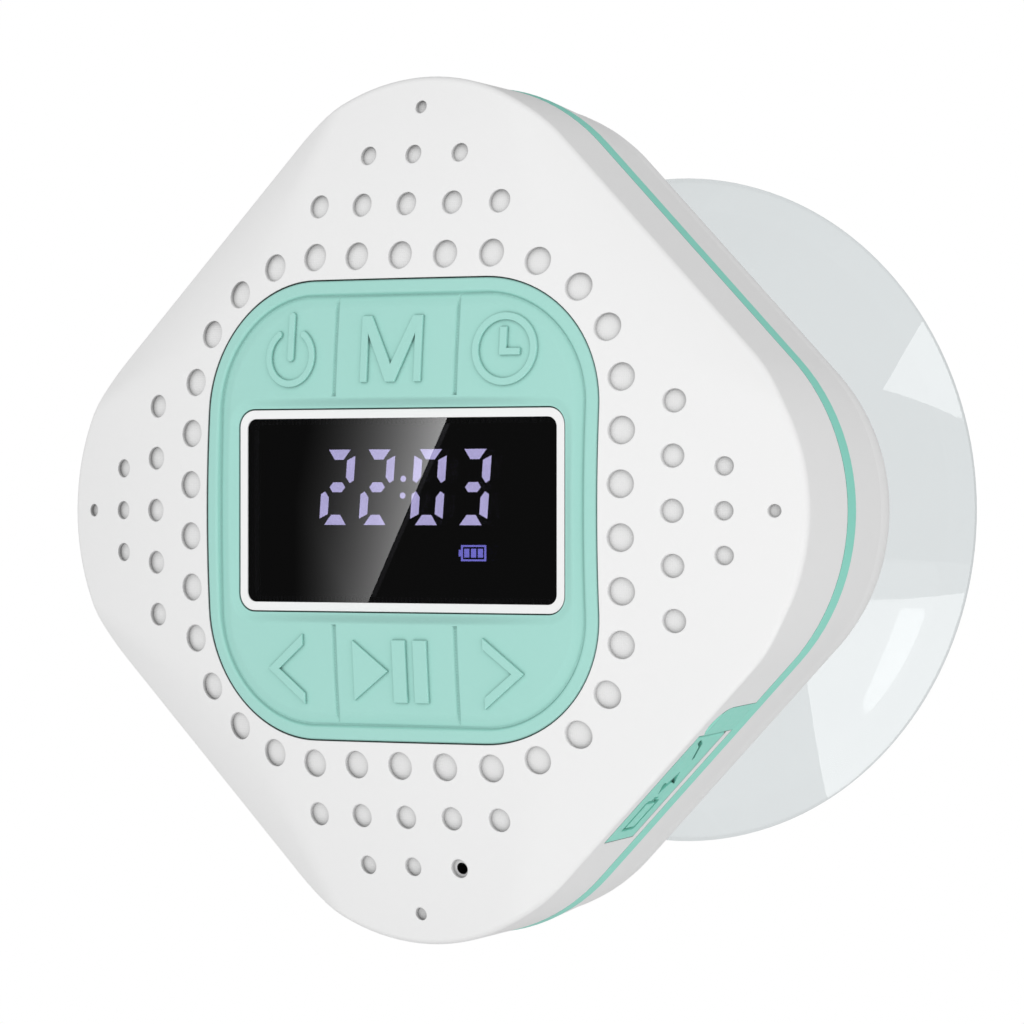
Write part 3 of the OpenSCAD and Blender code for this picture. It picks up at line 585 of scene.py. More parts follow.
def build_front():
    """The front shell: the domed face with its holes, the sides, and the pocket for the flap."""
    skin = Skin()
    angles = np.linspace(0, 2 * math.pi, HOLE_SEGMENTS, endpoint=False)
    ca, sa = np.cos(angles), np.sin(angles)
    inset = TANGENT * np.cos(ALPHA)
    outline = np.stack([EX - NX * inset, EY - NY * inset], -1)
    pad_p, pad_n = ring_points(PAD_HALF + PAD_GAP, PAD_HALF + PAD_GAP, PAD_CORNER + PAD_GAP, 24, 16, 16)
    lip = 0.12
    opening = pad_p + pad_n * lip
    rings = [np.stack([x + (r + HOLE_EDGE) * ca, y + (r + HOLE_EDGE) * sa], -1) for x, y, r in HOLES]

    def holes_away(x, y):
        d = np.full(np.shape(x), 1e3)
        for hx, hy, r in HOLES:
            d = np.minimum(d, np.hypot(x - hx, y - hy) - r - HOLE_EDGE)
        return d

    def region(x, y):
        free = pad_distance(x, y) - PAD_GAP - lip
        near_edge = -face_distance(x, y) - 1.0
        return np.minimum(np.minimum(holes_away(x, y), free), np.where(near_edge < 0.25, near_edge + 0.6, 9))

    co, tris = fill([outline, opening] + rings, region, 1.1, 0.42)
    x, y = co[:, 0], co[:, 1]
    skin.add(world(x, y, face_h(x, y)), normal_of(face_h, x, y), tris)
    # Underside of the face.
    deep = tris[(face_distance(x, y)[tris] < -2.4).all(1)]
    skin.add(world(x, y, face_h(x, y) - FACE_WALL), -normal_of(face_h, x, y), deep)
    # Holes: a rounded edge, then the wall.
    for hx, hy, r in HOLES:
        rows, normals = [], []
        for a in np.linspace(0, math.pi / 2, 4):
            radius = r + HOLE_EDGE * (1 - math.sin(a))
            px, py = hx + radius * ca, hy + radius * sa
            drop = HOLE_EDGE * (1 - math.cos(a))
            rows.append(world(px, py, face_h(px, py) - drop))
            up = normal_of(face_h, px, py) * math.cos(a)
            n = up + world_n(-ca, -sa, np.zeros_like(ca)) * math.sin(a)
            normals.append(unit(n))
        skin.strip(rows, normals)
        px, py = hx + r * ca, hy + r * sa
        wall_n = world_n(-ca, -sa, np.zeros_like(ca))
        skin.strip([world(px, py, face_h(px, py) - HOLE_EDGE), world(px, py, face_h(px, py) - FACE_WALL)],
                   [wall_n, wall_n])
    # Edge of the pad's opening.
    rows, normals = [], []
    for a in np.linspace(0, math.pi / 2, 4):
        p = pad_p + pad_n * lip * (1 - math.sin(a))
        rows.append(world(p[:, 0], p[:, 1], face_h(p[:, 0], p[:, 1]) - lip * (1 - math.cos(a))))
        n = normal_of(face_h, p[:, 0], p[:, 1]) * math.cos(a)
        n = n - sideways(pad_n) * math.sin(a)
        normals.append(unit(n))
    skin.strip(rows, normals)
    wall_n = -sideways(pad_n)
    top = face_h(pad_p[:, 0], pad_p[:, 1])
    skin.strip([world(pad_p[:, 0], pad_p[:, 1], top - lip), world(pad_p[:, 0], pad_p[:, 1], top - 1.6)],
               [wall_n, wall_n])
    # The rounded edge between face and sides.
    rows, normals = [], []
    for f in np.linspace(0, 1, 9):
        a = (math.pi / 2 - ALPHA) * (1 - f) - LEAN_OUT * f
        out = RHO * np.cos(a) - TANGENT * np.cos(ALPHA) - RHO * np.sin(ALPHA)
        height = EDGE_H + TANGENT * np.sin(ALPHA) - RHO * np.cos(ALPHA) + RHO * np.sin(a)
        px, py = EX + NX * out, EY + NY * out
        if f == 0:
            height = face_h(px, py)
        rows.append(world(px, py, height))
        normals.append(world_n(NX * np.cos(a), NY * np.cos(a), np.sin(a)))
    skin.strip(rows, normals)
    # The sides, down to the seam, with a slightly rounded lower edge.
    wall_top = rows[-1]
    low_x, low_y = BX + (EX - BX) * SEAM_EASE_SHARE, BY + (EY - BY) * SEAM_EASE_SHARE
    wall_low = world(low_x, low_y, SEAM_HIGH + SEAM_EASE + 0 * BX)
    n_ring = len(BX)
    side = (np.abs(BODY_P[:, 1] + HALF) < 1e-6) & (np.abs(EDGE_P[:, 0]) < FACE_HALF - FACE_CORNER + 1e-6)
    quads = [(j, (j + 1) % n_ring, (j + 1) % n_ring + n_ring, j + n_ring) for j in range(n_ring)
             if not (side[j] and side[(j + 1) % n_ring])]
    skin.add(np.concatenate([wall_top, wall_low]), np.concatenate([WALL_N, WALL_N]), quads)
    # Inner wall and the flange at the seam.
    flat_n = world_n(NX, NY, 0 * NX)
    inner_foot = world(BX - NX * SIDE_WALL, BY - NY * SIDE_WALL, SEAM_HIGH + 0 * BX)
    skin.strip([world(EX - NX * SIDE_WALL, EY - NY * SIDE_WALL, EDGE_H - 0.6), inner_foot],
               [-flat_n, -flat_n])
    down = world_n(0 * NX, 0 * NX, -1 + 0 * NX)
    slant = (flat_n + down) * R2
    rows = [wall_low, world(BX - NX * SEAM_EASE, BY - NY * SEAM_EASE, SEAM_HIGH + 0 * BX),
            inner_foot]
    skin.strip(rows[:2], [WALL_N, slant])
    skin.strip(rows[1:], [down, down])
    # The side with the port: flat, with a pocket cut in it.
    order = np.argsort(BODY_P[side][:, 0])
    tops, lows = wall_top[side][order], wall_low[side][order]
    border = np.concatenate([side_plane(tops), side_plane(lows)[::-1]])
    pocket = np.array(POCKET)
    co, tris = cdt(np.concatenate([border, pocket]),
                   [list(range(len(border))), list(range(len(border), len(border) + len(pocket)))])
    mid = co[tris].mean(1)
    tris = tris[inside_polygon(mid, border) & ~inside_polygon(mid, pocket)]
    out_n = side_normal(np.zeros(len(co)), np.zeros(len(co)), 1.0)
    skin.add(on_side(co[:, 0], co[:, 1], 0.0), out_n, tris)
    # Pocket walls and floor, and the opening for the plug.
    wall_of(skin, pocket, 0.0, POCKET_DEPTH)
    hole = np.array([[PLUG_LEFT, FLAP_MID - PLUG_UP], [PLUG_RIGHT, FLAP_MID - PLUG_UP],
                     [PLUG_RIGHT, FLAP_MID + PLUG_UP], [PLUG_LEFT, FLAP_MID + PLUG_UP]])
    co, tris = cdt(np.concatenate([pocket, hole]),
                   [list(range(len(pocket))), list(range(len(pocket), len(pocket) + 4))])
    mid = co[tris].mean(1)
    tris = tris[inside_polygon(mid, pocket) & ~inside_polygon(mid, hole)]
    skin.add(on_side(co[:, 0], co[:, 1], POCKET_DEPTH), side_normal(0 * co[:, 0], 0 * co[:, 0], 1.0), tris)
    wall_of(skin, hole, POCKET_DEPTH, PLUG_DEPTH)
    return skin


def side_plane(points):
    """Back from the row frame to the side's own plane: along it, and up its lean."""
    x, h, y = points[:, 0] / MM, -points[:, 1] / MM, points[:, 2] / MM
    t, _ = square_frame(x, y)
    return np.stack([t, SEAM_HIGH + (h - SEAM_HIGH) / math.cos(SIDE_LEAN)], -1)


def wall_of(skin, outline, depth_a, depth_b):
    """The walls of an opening in the side, between two depths."""
    for a, b in zip(outline, np.roll(outline, -1, 0)):
        d = b - a
        if np.linalg.norm(d) < 1e-9:
            continue
        d = d / np.linalg.norm(d)
        co = np.concatenate([on_side([a[0], b[0]], [a[1], b[1]], depth_a),
                             on_side([b[0], a[0]], [b[1], a[1]], depth_b)])
        skin.add(co, side_normal(np.full(4, -d[1]), np.full(4, d[0]), 0.0), [[0, 1, 2, 3]])


def build_fabric():
    """The cloth behind the holes, with an opening for the microphone."""
    skin = Skin()
    outer = np.stack([EX - NX * FABRIC_IN, EY - NY * FABRIC_IN], -1)
    half = PAD_HALF + FABRIC_GAP
    inner, _ = ring_points(half, half, PAD_CORNER + FABRIC_GAP, 24, 16, 16)
    ring = np.linspace(0, 2 * math.pi, 24, endpoint=False)
    opening = np.stack([MIC[0] + MIC_R * np.cos(ring), MIC[1] + MIC_R * np.sin(ring)], -1)

    def region(x, y):
        away = np.hypot(x - MIC[0], y - MIC[1]) - MIC_R
        outside = np.minimum(-face_distance(x, y) - FABRIC_IN, pad_distance(x, y) - FABRIC_GAP)
        return np.minimum(outside, away)

    co, tris = fill([outer, inner, opening], region, 1.5, 0.5)
    x, y = co[:, 0], co[:, 1]
    skin.add(world(x, y, face_h(x, y) - FABRIC_DEPTH), normal_of(face_h, x, y), tris)
    return skin


def inside_polygon(points, polygon):
    x, y = points[:, 0], points[:, 1]
    res = np.zeros(len(points), bool)
    for (x0, y0), (x1, y1) in zip(polygon, np.roll(polygon, -1, 0)):
        if y0 == y1:
            continue
        cross = ((y0 > y) != (y1 > y)) & (x < (x1 - x0) * (y - y0) / (y1 - y0) + x0)
        res ^= cross
    return res


FLAP_HINGE = 7.5
FLAP_END = FLAP_HINGE - 20.2
FLAP_LOW = 60.0
FLAP_W = 8.3
FLAP_GAP = 0.15
FLAP_MID = FLAP_LOW + FLAP_W / 2
PLUG = FLAP_HINGE - 10.6
PLUG_LEFT = PLUG - 5.5
PLUG_RIGHT = PLUG + 5.1
PLUG_UP = 1.9
PLUG_DEPTH = 3.2
POCKET_DEPTH = 1.3
ROOT_END = FLAP_HINGE + 6.0
ROOT_TOP = 67.5
NOTCH_X = FLAP_HINGE + 3.1
NOTCH_H = 65.2
NOTCH_R = 2.9
ROOT_R = 2.2
MIC = (7.45, -49.0)
MIC_R = 0.82


def pocket_outline():
    """The recess for the flap and its root, with the finger notch above the root, anticlockwise."""
    left, right = FLAP_END - FLAP_GAP, FLAP_HINGE + 0.8
    top = FLAP_LOW + FLAP_W + FLAP_GAP
    near, foot = FLAP_HINGE + 0.6, SEAM_HIGH + 0.13
    pts = [(left, FLAP_LOW - FLAP_GAP), (near, FLAP_LOW - FLAP_GAP), (near, foot), (ROOT_END, foot)]
    centre = np.array([ROOT_END - ROOT_R, ROOT_TOP - ROOT_R])
    corner = [centre + ROOT_R * np.array([math.cos(a), math.sin(a)]) for a in np.linspace(0, math.pi / 2, 25)]
    pts += [tuple(p) for p in corner if math.dist(p, (NOTCH_X, NOTCH_H)) > NOTCH_R]
    for x, h in arc_points(NOTCH_X, NOTCH_H, NOTCH_R, 0, math.pi, 37):
        in_root = h < ROOT_TOP and x < ROOT_END - ROOT_R
        in_corner = math.dist((x, h), centre) < ROOT_R
        if x > right and not in_root and not in_corner:
            pts.append((x, h))
    notch_foot = NOTCH_H + math.sqrt(max(NOTCH_R ** 2 - (right - NOTCH_X) ** 2, 0))
    pts += [(right, notch_foot), (right, top), (left, top)]
    return pts


POCKET = pocket_outline()
front = build_front().make("front_skin", MATERIALS["white_shell"], "housing", "white_shell")
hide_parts("front_shell")
fabric = build_fabric().make("fabric_skin", MATERIALS["grey_mesh"], "housing", "grey_mesh")
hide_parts("grille_mesh")

# ---------------------------------------------------------------- control pad and keys

KEY_R = 260.0
KEY_TOP = 79.8
RIM_IN = 2.15
GROOVE = 0.42
GROOVE_DEEP = 0.46
EDGE_DEEP = 0.12
EASE = 1.9
EASE_DEEP = 0.34
SPLIT_HALF = 0.42
KEY_INNER = 15.7
KEY_SPLIT = 9.85
FRAME_GAP = 0.2
PAD_FOOT = 75.0
WELL_FLOOR = 75.3
KEY_FOOT = 76.5
BAND_FOOT = 76.6
WELL_CLEAR = 0.05


def key_surface(x, y):
    return KEY_TOP - KEY_R + np.sqrt(KEY_R ** 2 - x * x - y * y)


def pad_surface(x, y):
    """The pad inside its rim: the keys' smooth top, falling to the display frame, with soft grooves."""
    h = key_surface(x, y)
    away = rounded(x, y, FRAME_X, FRAME_Y, FRAME_CORNER)
    low = FRAME_TOP + 0.1
    band = smooth(0.15, 1.75, away)
    h = np.where(np.abs(y) < KEY_INNER, low + (h - low) * band, h)
    edge = np.maximum(-pad_distance(x, y) - RIM_IN, 0)
    g = EASE_DEEP * (1 - smooth(0, EASE, edge)) + EDGE_DEEP * (1 - smooth(0, GROOVE, edge))
    split = np.abs(np.abs(x) - KEY_SPLIT)
    g2 = np.where(np.abs(y) > KEY_INNER, GROOVE_DEEP * (1 - smooth(0, SPLIT_HALF, split)), 0)
    return h - np.maximum(g, g2)


def rim_rows():
    """The rim's section: distance in from the pad's edge, and height above or below the dome."""
    rows = [(0.0, -1.3, 1.0, 0.0)]
    for a in np.linspace(0, math.pi / 2, 6):
        rows.append((0.38 * (1 - math.cos(a)), -0.43 + 0.38 * math.sin(a), math.cos(a), math.sin(a)))
    rows += [(0.8, 0.0, 0, 1), (1.2, 0.0, 0, 1)]
    for a in np.linspace(0, math.pi / 2 * 0.8, 6):
        rows.append((1.45 + 0.5 * math.sin(a), -0.02 - 0.5 * (1 - math.cos(a)), -math.sin(a), math.cos(a)))
    return rows


def build_pad():
    """The control pad without its keys: the rim, the band round the display, and the keys' wells."""
    skin = Skin()
    p, n = ring_points(PAD_HALF, PAD_HALF, PAD_CORNER, 36, 24, 24)
    rows, normals = [], []
    for inset, rise, out, up in rim_rows():
        q = p - n * inset
        rows.append(world(q[:, 0], q[:, 1], sphere_h(q[:, 0], q[:, 1]) + rise))
        base = normal_of(sphere_h, q[:, 0], q[:, 1])
        m = base * up + sideways(n) * out
        normals.append(unit(m))
    # Down to the bottom of the groove.
    q = p - n * RIM_IN
    rows.append(laid(q, pad_surface))
    m = normal_of(key_surface, q[:, 0], q[:, 1]) * 0.4 - sideways(n) * 0.6
    normals.append(unit(m))
    skin.strip(rows, normals)
    # The wall beside the keys, seen when they are pressed.
    inward = -sideways(n)
    back = q + n * WELL_CLEAR
    ledge = world(back[:, 0], back[:, 1], pad_surface(q[:, 0], q[:, 1]) - WELL_CLEAR)
    skin.strip([rows[-1], ledge, world(back[:, 0], back[:, 1], WELL_FLOOR + 0 * q[:, 0])],
               [inward] * 3)
    # The band and the strips round the display.
    half = PAD_HALF - RIM_IN
    ip, _ = ring_points(half, half, PAD_CORNER - RIM_IN, 60, 120, 120)
    keep = ip[np.abs(ip[:, 1]) < KEY_INNER - 0.05]
    right = keep[keep[:, 0] > 0]
    left = keep[keep[:, 0] < 0]
    right = right[np.argsort(right[:, 1])]
    left = left[np.argsort(-left[:, 1])]
    end_x = edge_x(KEY_INNER)
    top = np.stack([np.linspace(end_x, -end_x, 200), np.full(200, KEY_INNER)], -1)
    bottom = -top
    outer = np.concatenate([right, top, left, bottom])
    fp, fn = ring_points(FRAME_X + FRAME_GAP, FRAME_Y + FRAME_GAP, FRAME_CORNER + FRAME_GAP,
                         12, 150, 80)

    def region(x, y):
        inner = np.minimum(-pad_distance(x, y) - RIM_IN, KEY_INNER - np.abs(y))
        return np.minimum(inner, rounded(x, y, FRAME_X, FRAME_Y, FRAME_CORNER) - FRAME_GAP)

    co, tris = fill([outer, fp], region, 0.22, 0.1)
    x, y = co[:, 0], np.clip(co[:, 1], -KEY_INNER + 1e-4, KEY_INNER - 1e-4)
    skin.add(world(x, co[:, 1], pad_surface(x, y)), normal_of(pad_surface, x, y * 0.9985), tris)
    side_n = -sideways(fn)
    skin.strip([laid(fp, pad_surface), world(fp[:, 0], fp[:, 1], PAD_FOOT + 0 * fp[:, 0])],
               [side_n, side_n])
    for s in (-1, 1):
        xs = np.linspace(-end_x, end_x, 120)
        ys = np.full(120, s * KEY_INNER)
        wn = world_n(0 * xs, s + 0 * xs, 0 * xs)
        skin.strip([world(xs, ys, pad_surface(xs, ys * 0.9999)), world(xs, ys, BAND_FOOT + 0 * xs)], [wn, wn],
                   closed=False)
    # The floor of the keys' wells.
    fp2, _ = ring_points(half, half, PAD_CORNER - RIM_IN, 16, 6, 6)
    fq, _ = ring_points(FRAME_X, FRAME_Y, FRAME_CORNER, 6, 6, 6)

    def well(x, y):
        return np.minimum(-pad_distance(x, y) - RIM_IN, rounded(x, y, FRAME_X, FRAME_Y, FRAME_CORNER))

    co, tris = fill([fp2, fq], well, 4.0, 1.0)
    zero = 0 * co[:, 0]
    skin.add(world(co[:, 0], co[:, 1], WELL_FLOOR + zero), world_n(zero, zero, 1 + zero), tris)
    return skin


def edge_x(y):
    """How far the pad's inside reaches to the right, at a height y."""
    a, b = 0.0, PAD_HALF
    for _ in range(60):
        m = (a + b) / 2
        if -pad_distance(np.array([m]), np.array([y]))[0] > RIM_IN:
            a = m
        else:
            b = m
    return a


def key_loop(column, row):
    """Outline of a key, anticlockwise, in the front view."""
    half = PAD_HALF - RIM_IN
    corner = PAD_CORNER - RIM_IN
    x0, x1 = (-half, -KEY_SPLIT, KEY_SPLIT, half)[column], (-half, -KEY_SPLIT, KEY_SPLIT, half)[column + 1]
    if column == 1:
        xs = np.linspace(x0, x1, 100)
        ys = np.linspace(KEY_INNER, half, 70)
        pts = [(x, KEY_INNER) for x in xs] + [(x1, y) for y in ys[1:]] + [(x, half) for x in xs[::-1][1:]]
        pts += [(x0, y) for y in ys[::-1][1:-1]]
    else:
        ring, _ = ring_points(half, half, corner, 110, 200, 200)
        part = ring[(ring[:, 1] > KEY_INNER + 0.05) & (ring[:, 0] > KEY_SPLIT + 0.05)]
        part = part[np.argsort(np.arctan2(part[:, 1], part[:, 0]))]
        ex = edge_x(KEY_INNER)
        pts = [(x, KEY_INNER) for x in np.linspace(KEY_SPLIT, ex, 90)] + [tuple(q) for q in part]
        pts += [(KEY_SPLIT, y) for y in np.linspace(half, KEY_INNER, 70)[:-1]]
        if column == 0:
            pts = [(-x, y) for x, y in pts][::-1]
    if row < 0:
        pts = [(x, -y) for x, y in pts][::-1]
    return np.array(pts)


def build_key(column, row):
    skin = Skin()
    loop = key_loop(column, row)

    def region(x, y):
        d = np.minimum(-pad_distance(x, y) - RIM_IN, row * y - KEY_INNER)
        if column == 0:
            return np.minimum(d, -KEY_SPLIT - x)
        if column == 2:
            return np.minimum(d, x - KEY_SPLIT)
        return np.minimum(d, KEY_SPLIT - np.abs(x))

    co, tris = fill([loop], region, 0.24, 0.09)
    x, y = co[:, 0], np.where(row * co[:, 1] < KEY_INNER + 0.02, row * (KEY_INNER + 0.02), co[:, 1])
    skin.add(world(x, co[:, 1], pad_surface(x, y)), normal_of(pad_surface, x, y), tris)
    nxt = np.roll(loop, -1, 0) - np.roll(loop, 1, 0)
    n2 = np.stack([nxt[:, 1], -nxt[:, 0]], -1)
    wn = sideways(n2)
    lx, ly = loop[:, 0], loop[:, 1]
    ly2 = np.where(row * ly < KEY_INNER + 0.02, row * (KEY_INNER + 0.02), ly)
    skin.strip([world(lx, ly, pad_surface(lx, ly2)), world(lx, ly, KEY_FOOT + 0 * lx)], [wn, wn])
    return skin


pad = build_pad().make("pad_skin", MATERIALS["mint_silicone"], "housing", "mint_silicone")
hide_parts("control_pad")


def ring_shape(cx, cy, outer, inner, gap=0.0):
    if not gap:
        return [arc_points(cx, cy, r, 0, 2 * math.pi, 73)[:-1] for r in (outer, inner)]
    a0, a1 = math.pi / 2 + gap, math.pi / 2 - gap + 2 * math.pi
    mid, w = (outer + inner) / 2, (outer - inner) / 2
    pts = arc_points(cx, cy, outer, a0, a1, 60)
    ex, ey = cx + mid * math.cos(a1), cy + mid * math.sin(a1)
    pts += arc_points(ex, ey, w, a1, a1 + math.pi, 10)[1:-1]
    pts += arc_points(cx, cy, inner, a1, a0, 60)
    ex, ey = cx + mid * math.cos(a0), cy + mid * math.sin(a0)
    pts += arc_points(ex, ey, w, a0 + math.pi, a0 + 2 * math.pi, 10)[1:-1]
    return [pts]


def pill_shape(x, y0, y1, w):
    r = w / 2
    return [arc_points(x, y1 - r, r, 0, math.pi, 12) + arc_points(x, y0 + r, r, math.pi, 2 * math.pi, 12)]


def box_shape(x0, y0, x1, y1):
    return [[(x0, y0), (x1, y0), (x1, y1), (x0, y1)]]


def m_shape(x, y, half, tall):
    leg, top, foot = 1.15, 1.6, 0.75
    pts = [(-half, 0), (-half + leg, 0), (-half + leg, tall - 2.6), (-foot, 0), (foot, 0),
           (half - leg, tall - 2.6), (half - leg, 0), (half, 0), (half, tall), (half - top, tall),
           (0, 2.5), (-half + top, tall), (-half, tall)]
    return [[(x + a, y + b) for a, b in pts]]


def arrow_shape(x, y, side):
    pts = [(-3.15, 0), (3.0, 4.85), (3.0, 3.3), (-1.25, 0), (3.0, -3.3), (3.0, -4.85)]
    return [[(x - side * a, y + b) for a, b in pts]]


# Each key's column, and 1 for the upper row or -1 for the lower.
KEYS = [("key_power", 0, 1), ("key_mode", 1, 1), ("key_clock", 2, 1),
        ("key_previous", 0, -1), ("key_play_pause", 1, -1), ("key_next", 2, -1)]
SYMBOLS = {
    "key_power": [ring_shape(-17.3, 21.25, 4.2, 3.25, 0.6), pill_shape(-17.25, 20.6, 27.4, 1.05)],
    "key_mode": [m_shape(-0.35, 17.6, 4.95, 9.1)],
    "key_clock": [ring_shape(17.5, 21.9, 4.95, 3.95),
                  [[(16.75, 21.05), (19.9, 21.05), (19.9, 22.0), (17.85, 22.0), (17.85, 24.9),
                    (16.75, 24.9)]]],
    "key_previous": [arrow_shape(-18.0, -21.9, -1)],
    "key_play_pause": [[[(-6.6, -26.1), (-0.9, -22.0), (-6.6, -17.8)]], box_shape(-0.1, -26.3, 2.1, -17.7),
                       box_shape(3.3, -26.3, 5.5, -17.7)],
    "key_next": [arrow_shape(17.3, -22.1, 1)],
}
SYMBOL_RISE = 0.5
SYMBOL_EDGE = 0.16
SYMBOL_HALF = 0.3
KEY_PITCH = 17.4
KEY_ROW = 22.0


def symbol_mesh(name, shapes, centre):
    """Raised symbols with rounded edges, laid on the key's tangent plane."""
    curve = bpy.data.curves.new(name, "CURVE")
    curve.dimensions = "2D"
    curve.fill_mode = "BOTH"
    curve.extrude = SYMBOL_HALF
    curve.bevel_depth = SYMBOL_EDGE
    curve.bevel_resolution = 3
    curve.offset = -SYMBOL_EDGE
    for shape in shapes:
        for loop in shape:
            s = curve.splines.new("POLY")
            s.points.add(len(loop) - 1)
            for q, (x, y) in zip(s.points, loop):
                q.co = (x - centre[0], y - centre[1], 0, 1)
            s.use_cyclic_u = True
    temp = bpy.data.objects.new(name + "_curve", curve)
    bpy.context.scene.collection.objects.link(temp)
    deps = bpy.context.evaluated_depsgraph_get()
    mesh = bpy.data.meshes.new_from_object(temp.evaluated_get(deps))
    bpy.data.objects.remove(temp)
    co = np.array([v.co for v in mesh.vertices], float)
    x, y = co[:, 0] + centre[0], co[:, 1] + centre[1]
    h = key_surface(x, y) + SYMBOL_RISE - (SYMBOL_HALF + SYMBOL_EDGE) + co[:, 2]
    mesh.vertices.foreach_set("co", world(x, y, h).ravel())
    mesh.update()
    return mesh


for name, column, row in KEYS:
    key = build_key(column, row).make(name + "_skin", MATERIALS["mint_silicone"], name, "mint_silicone")
    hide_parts(name)
    mesh = symbol_mesh(name + "_symbol", SYMBOLS[name], ((column - 1) * KEY_PITCH, row * KEY_ROW))
    o = bpy.data.objects.new(name + "_symbol", mesh)
    bpy.context.scene.collection.objects.link(o)
    mesh.materials.clear()
    mesh.materials.append(MATERIALS["mint_silicone"])
    for q in mesh.polygons:
        q.use_smooth = False
        q.material_index = 0
    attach(o, name)

# ---------------------------------------------------------------- suction cup

CUP_R = CUP[1][0]
CUP_TOP = 25.0
CUP_EDGE = 1.2
CUP_LIP = 5.0
CUP_HOLLOW = 14.5
STEM_R = 12.0
STEM_FOOT = 33.0
STEM_TOP = 35.2
CUP_SEGMENTS = 160


def cup_profile():
    """Radius and height of the cup's outside, from the lip to the stem, then of its hollow."""
    rise = CUP_TOP - CUP_EDGE
    r_out = (CUP_R ** 2 + rise ** 2) / (2 * rise)
    outside = [(CUP_R - 0.65, 0.0), (CUP_R - 0.2, 0.18), (CUP_R - 0.05, 0.6), (CUP_R, CUP_EDGE)]
    for r in np.linspace(CUP_R - 0.1, 21.5, 46):
        outside.append((r, CUP_TOP - r_out + math.sqrt(r_out ** 2 - r * r)))
    r0, h0 = outside[-1]
    for f in np.linspace(0, 1, 14)[1:]:
        a = f * math.pi / 2
        outside.append((STEM_R + (r0 - STEM_R) * (1 - math.sin(a)) ** 1.15,
                        h0 + (STEM_FOOT - h0) * (1 - math.cos(a))))
    outside.append((STEM_R, STEM_TOP))
    inner = CUP_R - CUP_LIP
    r_in = (inner ** 2 + CUP_HOLLOW ** 2) / (2 * CUP_HOLLOW)
    inside = [(CUP_R - 0.65, 0.0), (inner + 0.5, 0.0)]
    for r in np.concatenate([np.linspace(inner, 2, 40), [0.001]]):
        inside.append((r, CUP_HOLLOW - r_in + math.sqrt(r_in ** 2 - r * r)))
    return np.array(outside), np.array(inside)


def lathe(skin, profile):
    """The profile turned about the cup's axis."""
    d = np.gradient(profile, axis=0)
    n = np.stack([d[:, 1], -d[:, 0]], -1)
    n /= np.linalg.norm(n, axis=-1, keepdims=True)
    a = np.linspace(0, 2 * math.pi, CUP_SEGMENTS, endpoint=False)
    rows = [world(r * np.cos(a), r * np.sin(a), h + 0 * a) for r, h in profile]
    normals = [world_n(q[0] * np.cos(a), q[0] * np.sin(a), q[1] + 0 * a) for q in n]
    skin.strip(rows, normals)


def build_cup():
    skin = Skin()
    for profile in cup_profile():
        lathe(skin, profile)
    return skin


cup = build_cup().make("cup_skin", MATERIALS["clear_pvc"], "suction_mount", "clear_pvc")
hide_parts("suction_cup")

# ---------------------------------------------------------------- studio


CAMERA_AT = Vector((0.4054, -0.7034, 0.0012))
LOOK_AT = Vector((0.0146, -0.0719, -0.0002))

camera_data = bpy.data.cameras.new("camera")
camera_data.lens = 191.4
camera_data.sensor_width = 36.0
camera_data.clip_start = 0.01
camera = bpy.data.objects.new("camera", camera_data)
camera.location = CAMERA_AT
camera.rotation_euler = (LOOK_AT - CAMERA_AT).to_track_quat("-Z", "Y").to_euler()
bpy.context.scene.collection.objects.link(camera)
bpy.context.scene.camera = camera


CARD_LEAST = 0.11
FADE_POWER = 4.0


def maths(t, operation, source, value):
    m = t.nodes.new("ShaderNodeMath")
    m.operation = operation
    m.inputs[1].default_value = value
    t.links.new(source, m.inputs[0])
    return m.outputs["Value"]


def card(name, points, strength, fade=None):
    """A bright card that only reflections see; it may fade from corner to corner."""
    mesh = bpy.data.meshes.new(name)
    mesh.from_pydata([tuple(p) for p in points], [], [list(range(len(points)))])
    values = mesh.attributes.new("fade", "FLOAT", "POINT")
    values.data.foreach_set("value", fade or [1.0] * len(points))
    m, t, out = new_material(name)
    e = t.nodes.new("ShaderNodeEmission")
    a = t.nodes.new("ShaderNodeAttribute")
    a.attribute_name = "fade"
    falling = maths(t, "POWER", a.outputs["Fac"], FADE_POWER)
    bright = maths(t, "MULTIPLY", falling, strength)
    t.links.new(maths(t, "MAXIMUM", bright, CARD_LEAST), e.inputs["Strength"])
    t.links.new(e.outputs["Emission"], out.inputs["Surface"])
    mesh.materials.append(m)
    o = bpy.data.objects.new(name, mesh)
    bpy.context.scene.collection.objects.link(o)
    o.visible_camera = False
    o.visible_diffuse = False
    o.visible_shadow = False
    o.visible_transmission = False


def mirrored(point, normal, reach):
    """Where the reflection seen at a point of the surface comes from, a distance away."""
    d = (point - CAMERA_AT).normalized()
    r = d - 2 * d.dot(normal) * normal
    return point + r * reach


def on_window(x, y):
    return Vector(world(x, y, WINDOW[1][2]).tolist())


WINDOW_OUT = Vector((0, -1, 0))
card("window_card", [mirrored(on_window(x, y), WINDOW_OUT, 0.9) for x, y in
                     ((-26, 14.5), (8.6, 14.5), (-6.2, -14.5), (-26, -14.5))], 9.8, [0.0, 1.0, 0.76, 0.0])

CARD_CUP_R = 49.0
CARD_CUP_RISE = 23.8
CUP_DOME_R = (CARD_CUP_R ** 2 + CARD_CUP_RISE ** 2) / (2 * CARD_CUP_RISE)
CUP_CENTRE = Vector((0, -(CUP_TOP - CUP_DOME_R) * MM, 0))


def on_cup(x, y):
    h = CUP_TOP - CUP_DOME_R + math.sqrt(CUP_DOME_R ** 2 - x * x - y * y)
    return Vector(world(x, y, h).tolist())


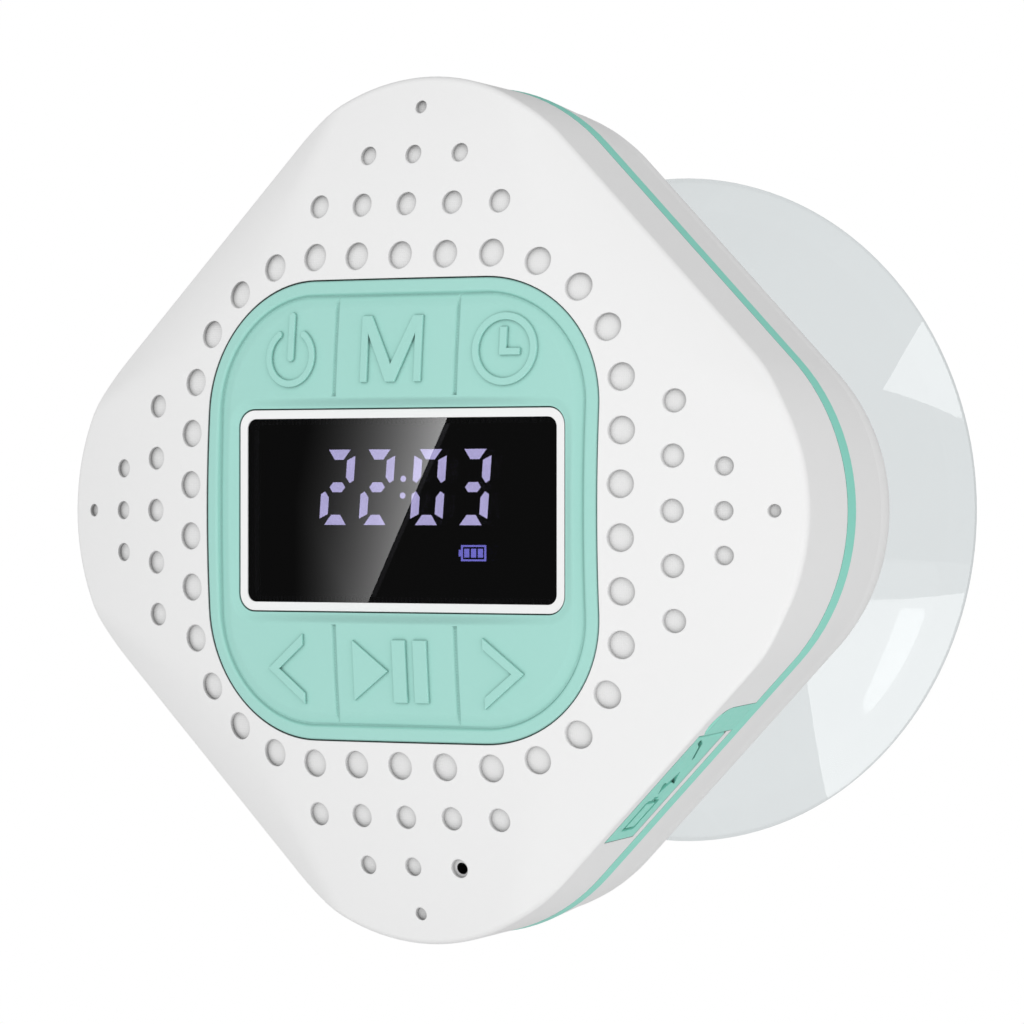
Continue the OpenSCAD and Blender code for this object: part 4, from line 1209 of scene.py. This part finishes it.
def cup_card(name, places, reach, strength):
    """A card whose reflection on the cup has its corners at these places."""
    pts = []
    for x, y in places:
        p = on_cup(x, y)
        pts.append(mirrored(p, (p - CUP_CENTRE).normalized(), reach))
    card(name, pts, strength)


cup_card("cup_card_low", ((33.6, -12.7), (48.0, -11.6), (41.0, -27.0), (25.0, -41.8), (27.8, -24.6)),
         0.15, 5.0)
cup_card("cup_card_high", ((38.0, 17.2), (40.5, 27.5), (47.9, 12.2)), 0.5, 5.0)


world_shader = bpy.data.worlds.new("studio")
world_shader.use_nodes = True
bpy.context.scene.world = world_shader
tree = world_shader.node_tree
tree.nodes.clear()
w_out = tree.nodes.new("ShaderNodeOutputWorld")


def background(strength):
    b = tree.nodes.new("ShaderNodeBackground")
    b.inputs["Color"].default_value = (1, 1, 1, 1)
    b.inputs["Strength"].default_value = strength
    return b


# White as seen by the camera, softer where it lights the object, and dim in reflections.
seen = background(1.0)
lit = background(0.62)
dim = background(0.12)
path = tree.nodes.new("ShaderNodeLightPath")
mix_a = tree.nodes.new("ShaderNodeMixShader")
mix_b = tree.nodes.new("ShaderNodeMixShader")
tree.links.new(path.outputs["Is Glossy Ray"], mix_a.inputs["Fac"])
tree.links.new(lit.outputs["Background"], mix_a.inputs[1])
tree.links.new(dim.outputs["Background"], mix_a.inputs[2])
tree.links.new(path.outputs["Is Camera Ray"], mix_b.inputs["Fac"])
tree.links.new(mix_a.outputs["Shader"], mix_b.inputs[1])
tree.links.new(seen.outputs["Background"], mix_b.inputs[2])
tree.links.new(mix_b.outputs["Shader"], w_out.inputs["Surface"])


def softbox(name, at, size, power):
    data = bpy.data.lights.new(name, "AREA")
    data.shape = "RECTANGLE"
    data.size, data.size_y = size
    data.energy = power
    o = bpy.data.objects.new(name, data)
    o.location = at
    o.rotation_euler = (Vector((0, -0.06, 0)) - Vector(at)).to_track_quat("-Z", "Y").to_euler()
    bpy.context.scene.collection.objects.link(o)
    o.visible_camera = False
    o.visible_glossy = False


softbox("key_light", (1.0, -0.75, 0.35), (0.7, 0.7), 2.5)
softbox("front_light", (-0.1, -1.3, -0.05), (0.5, 0.5), 4.2)
softbox("side_light", (1.25, -0.05, -0.02), (0.5, 0.5), 1.2)
softbox("top_light", (-0.1, -0.5, 1.1), (0.9, 0.6), 0.15)

FLOOR_R = 0.9
FLOOR_Y = -0.1
FLOOR_Z = -0.22
FLOOR_SIDES = 96
floor_mesh = bpy.data.meshes.new("floor")
floor_angle = np.linspace(0, 2 * math.pi, FLOOR_SIDES, endpoint=False)
floor_mesh.from_pydata([(FLOOR_R * math.cos(a), FLOOR_Y + FLOOR_R * math.sin(a), FLOOR_Z)
                        for a in floor_angle], [], [list(range(FLOOR_SIDES))])
floor_mesh.materials.append(finish_material("floor_paint", (0.9, 0.9, 0.9, 1), (0.7, 0.9), 60, 0.02, 0.01))
floor = bpy.data.objects.new("floor", floor_mesh)
bpy.context.scene.collection.objects.link(floor)

bpy.context.scene.view_settings.view_transform = "Standard"
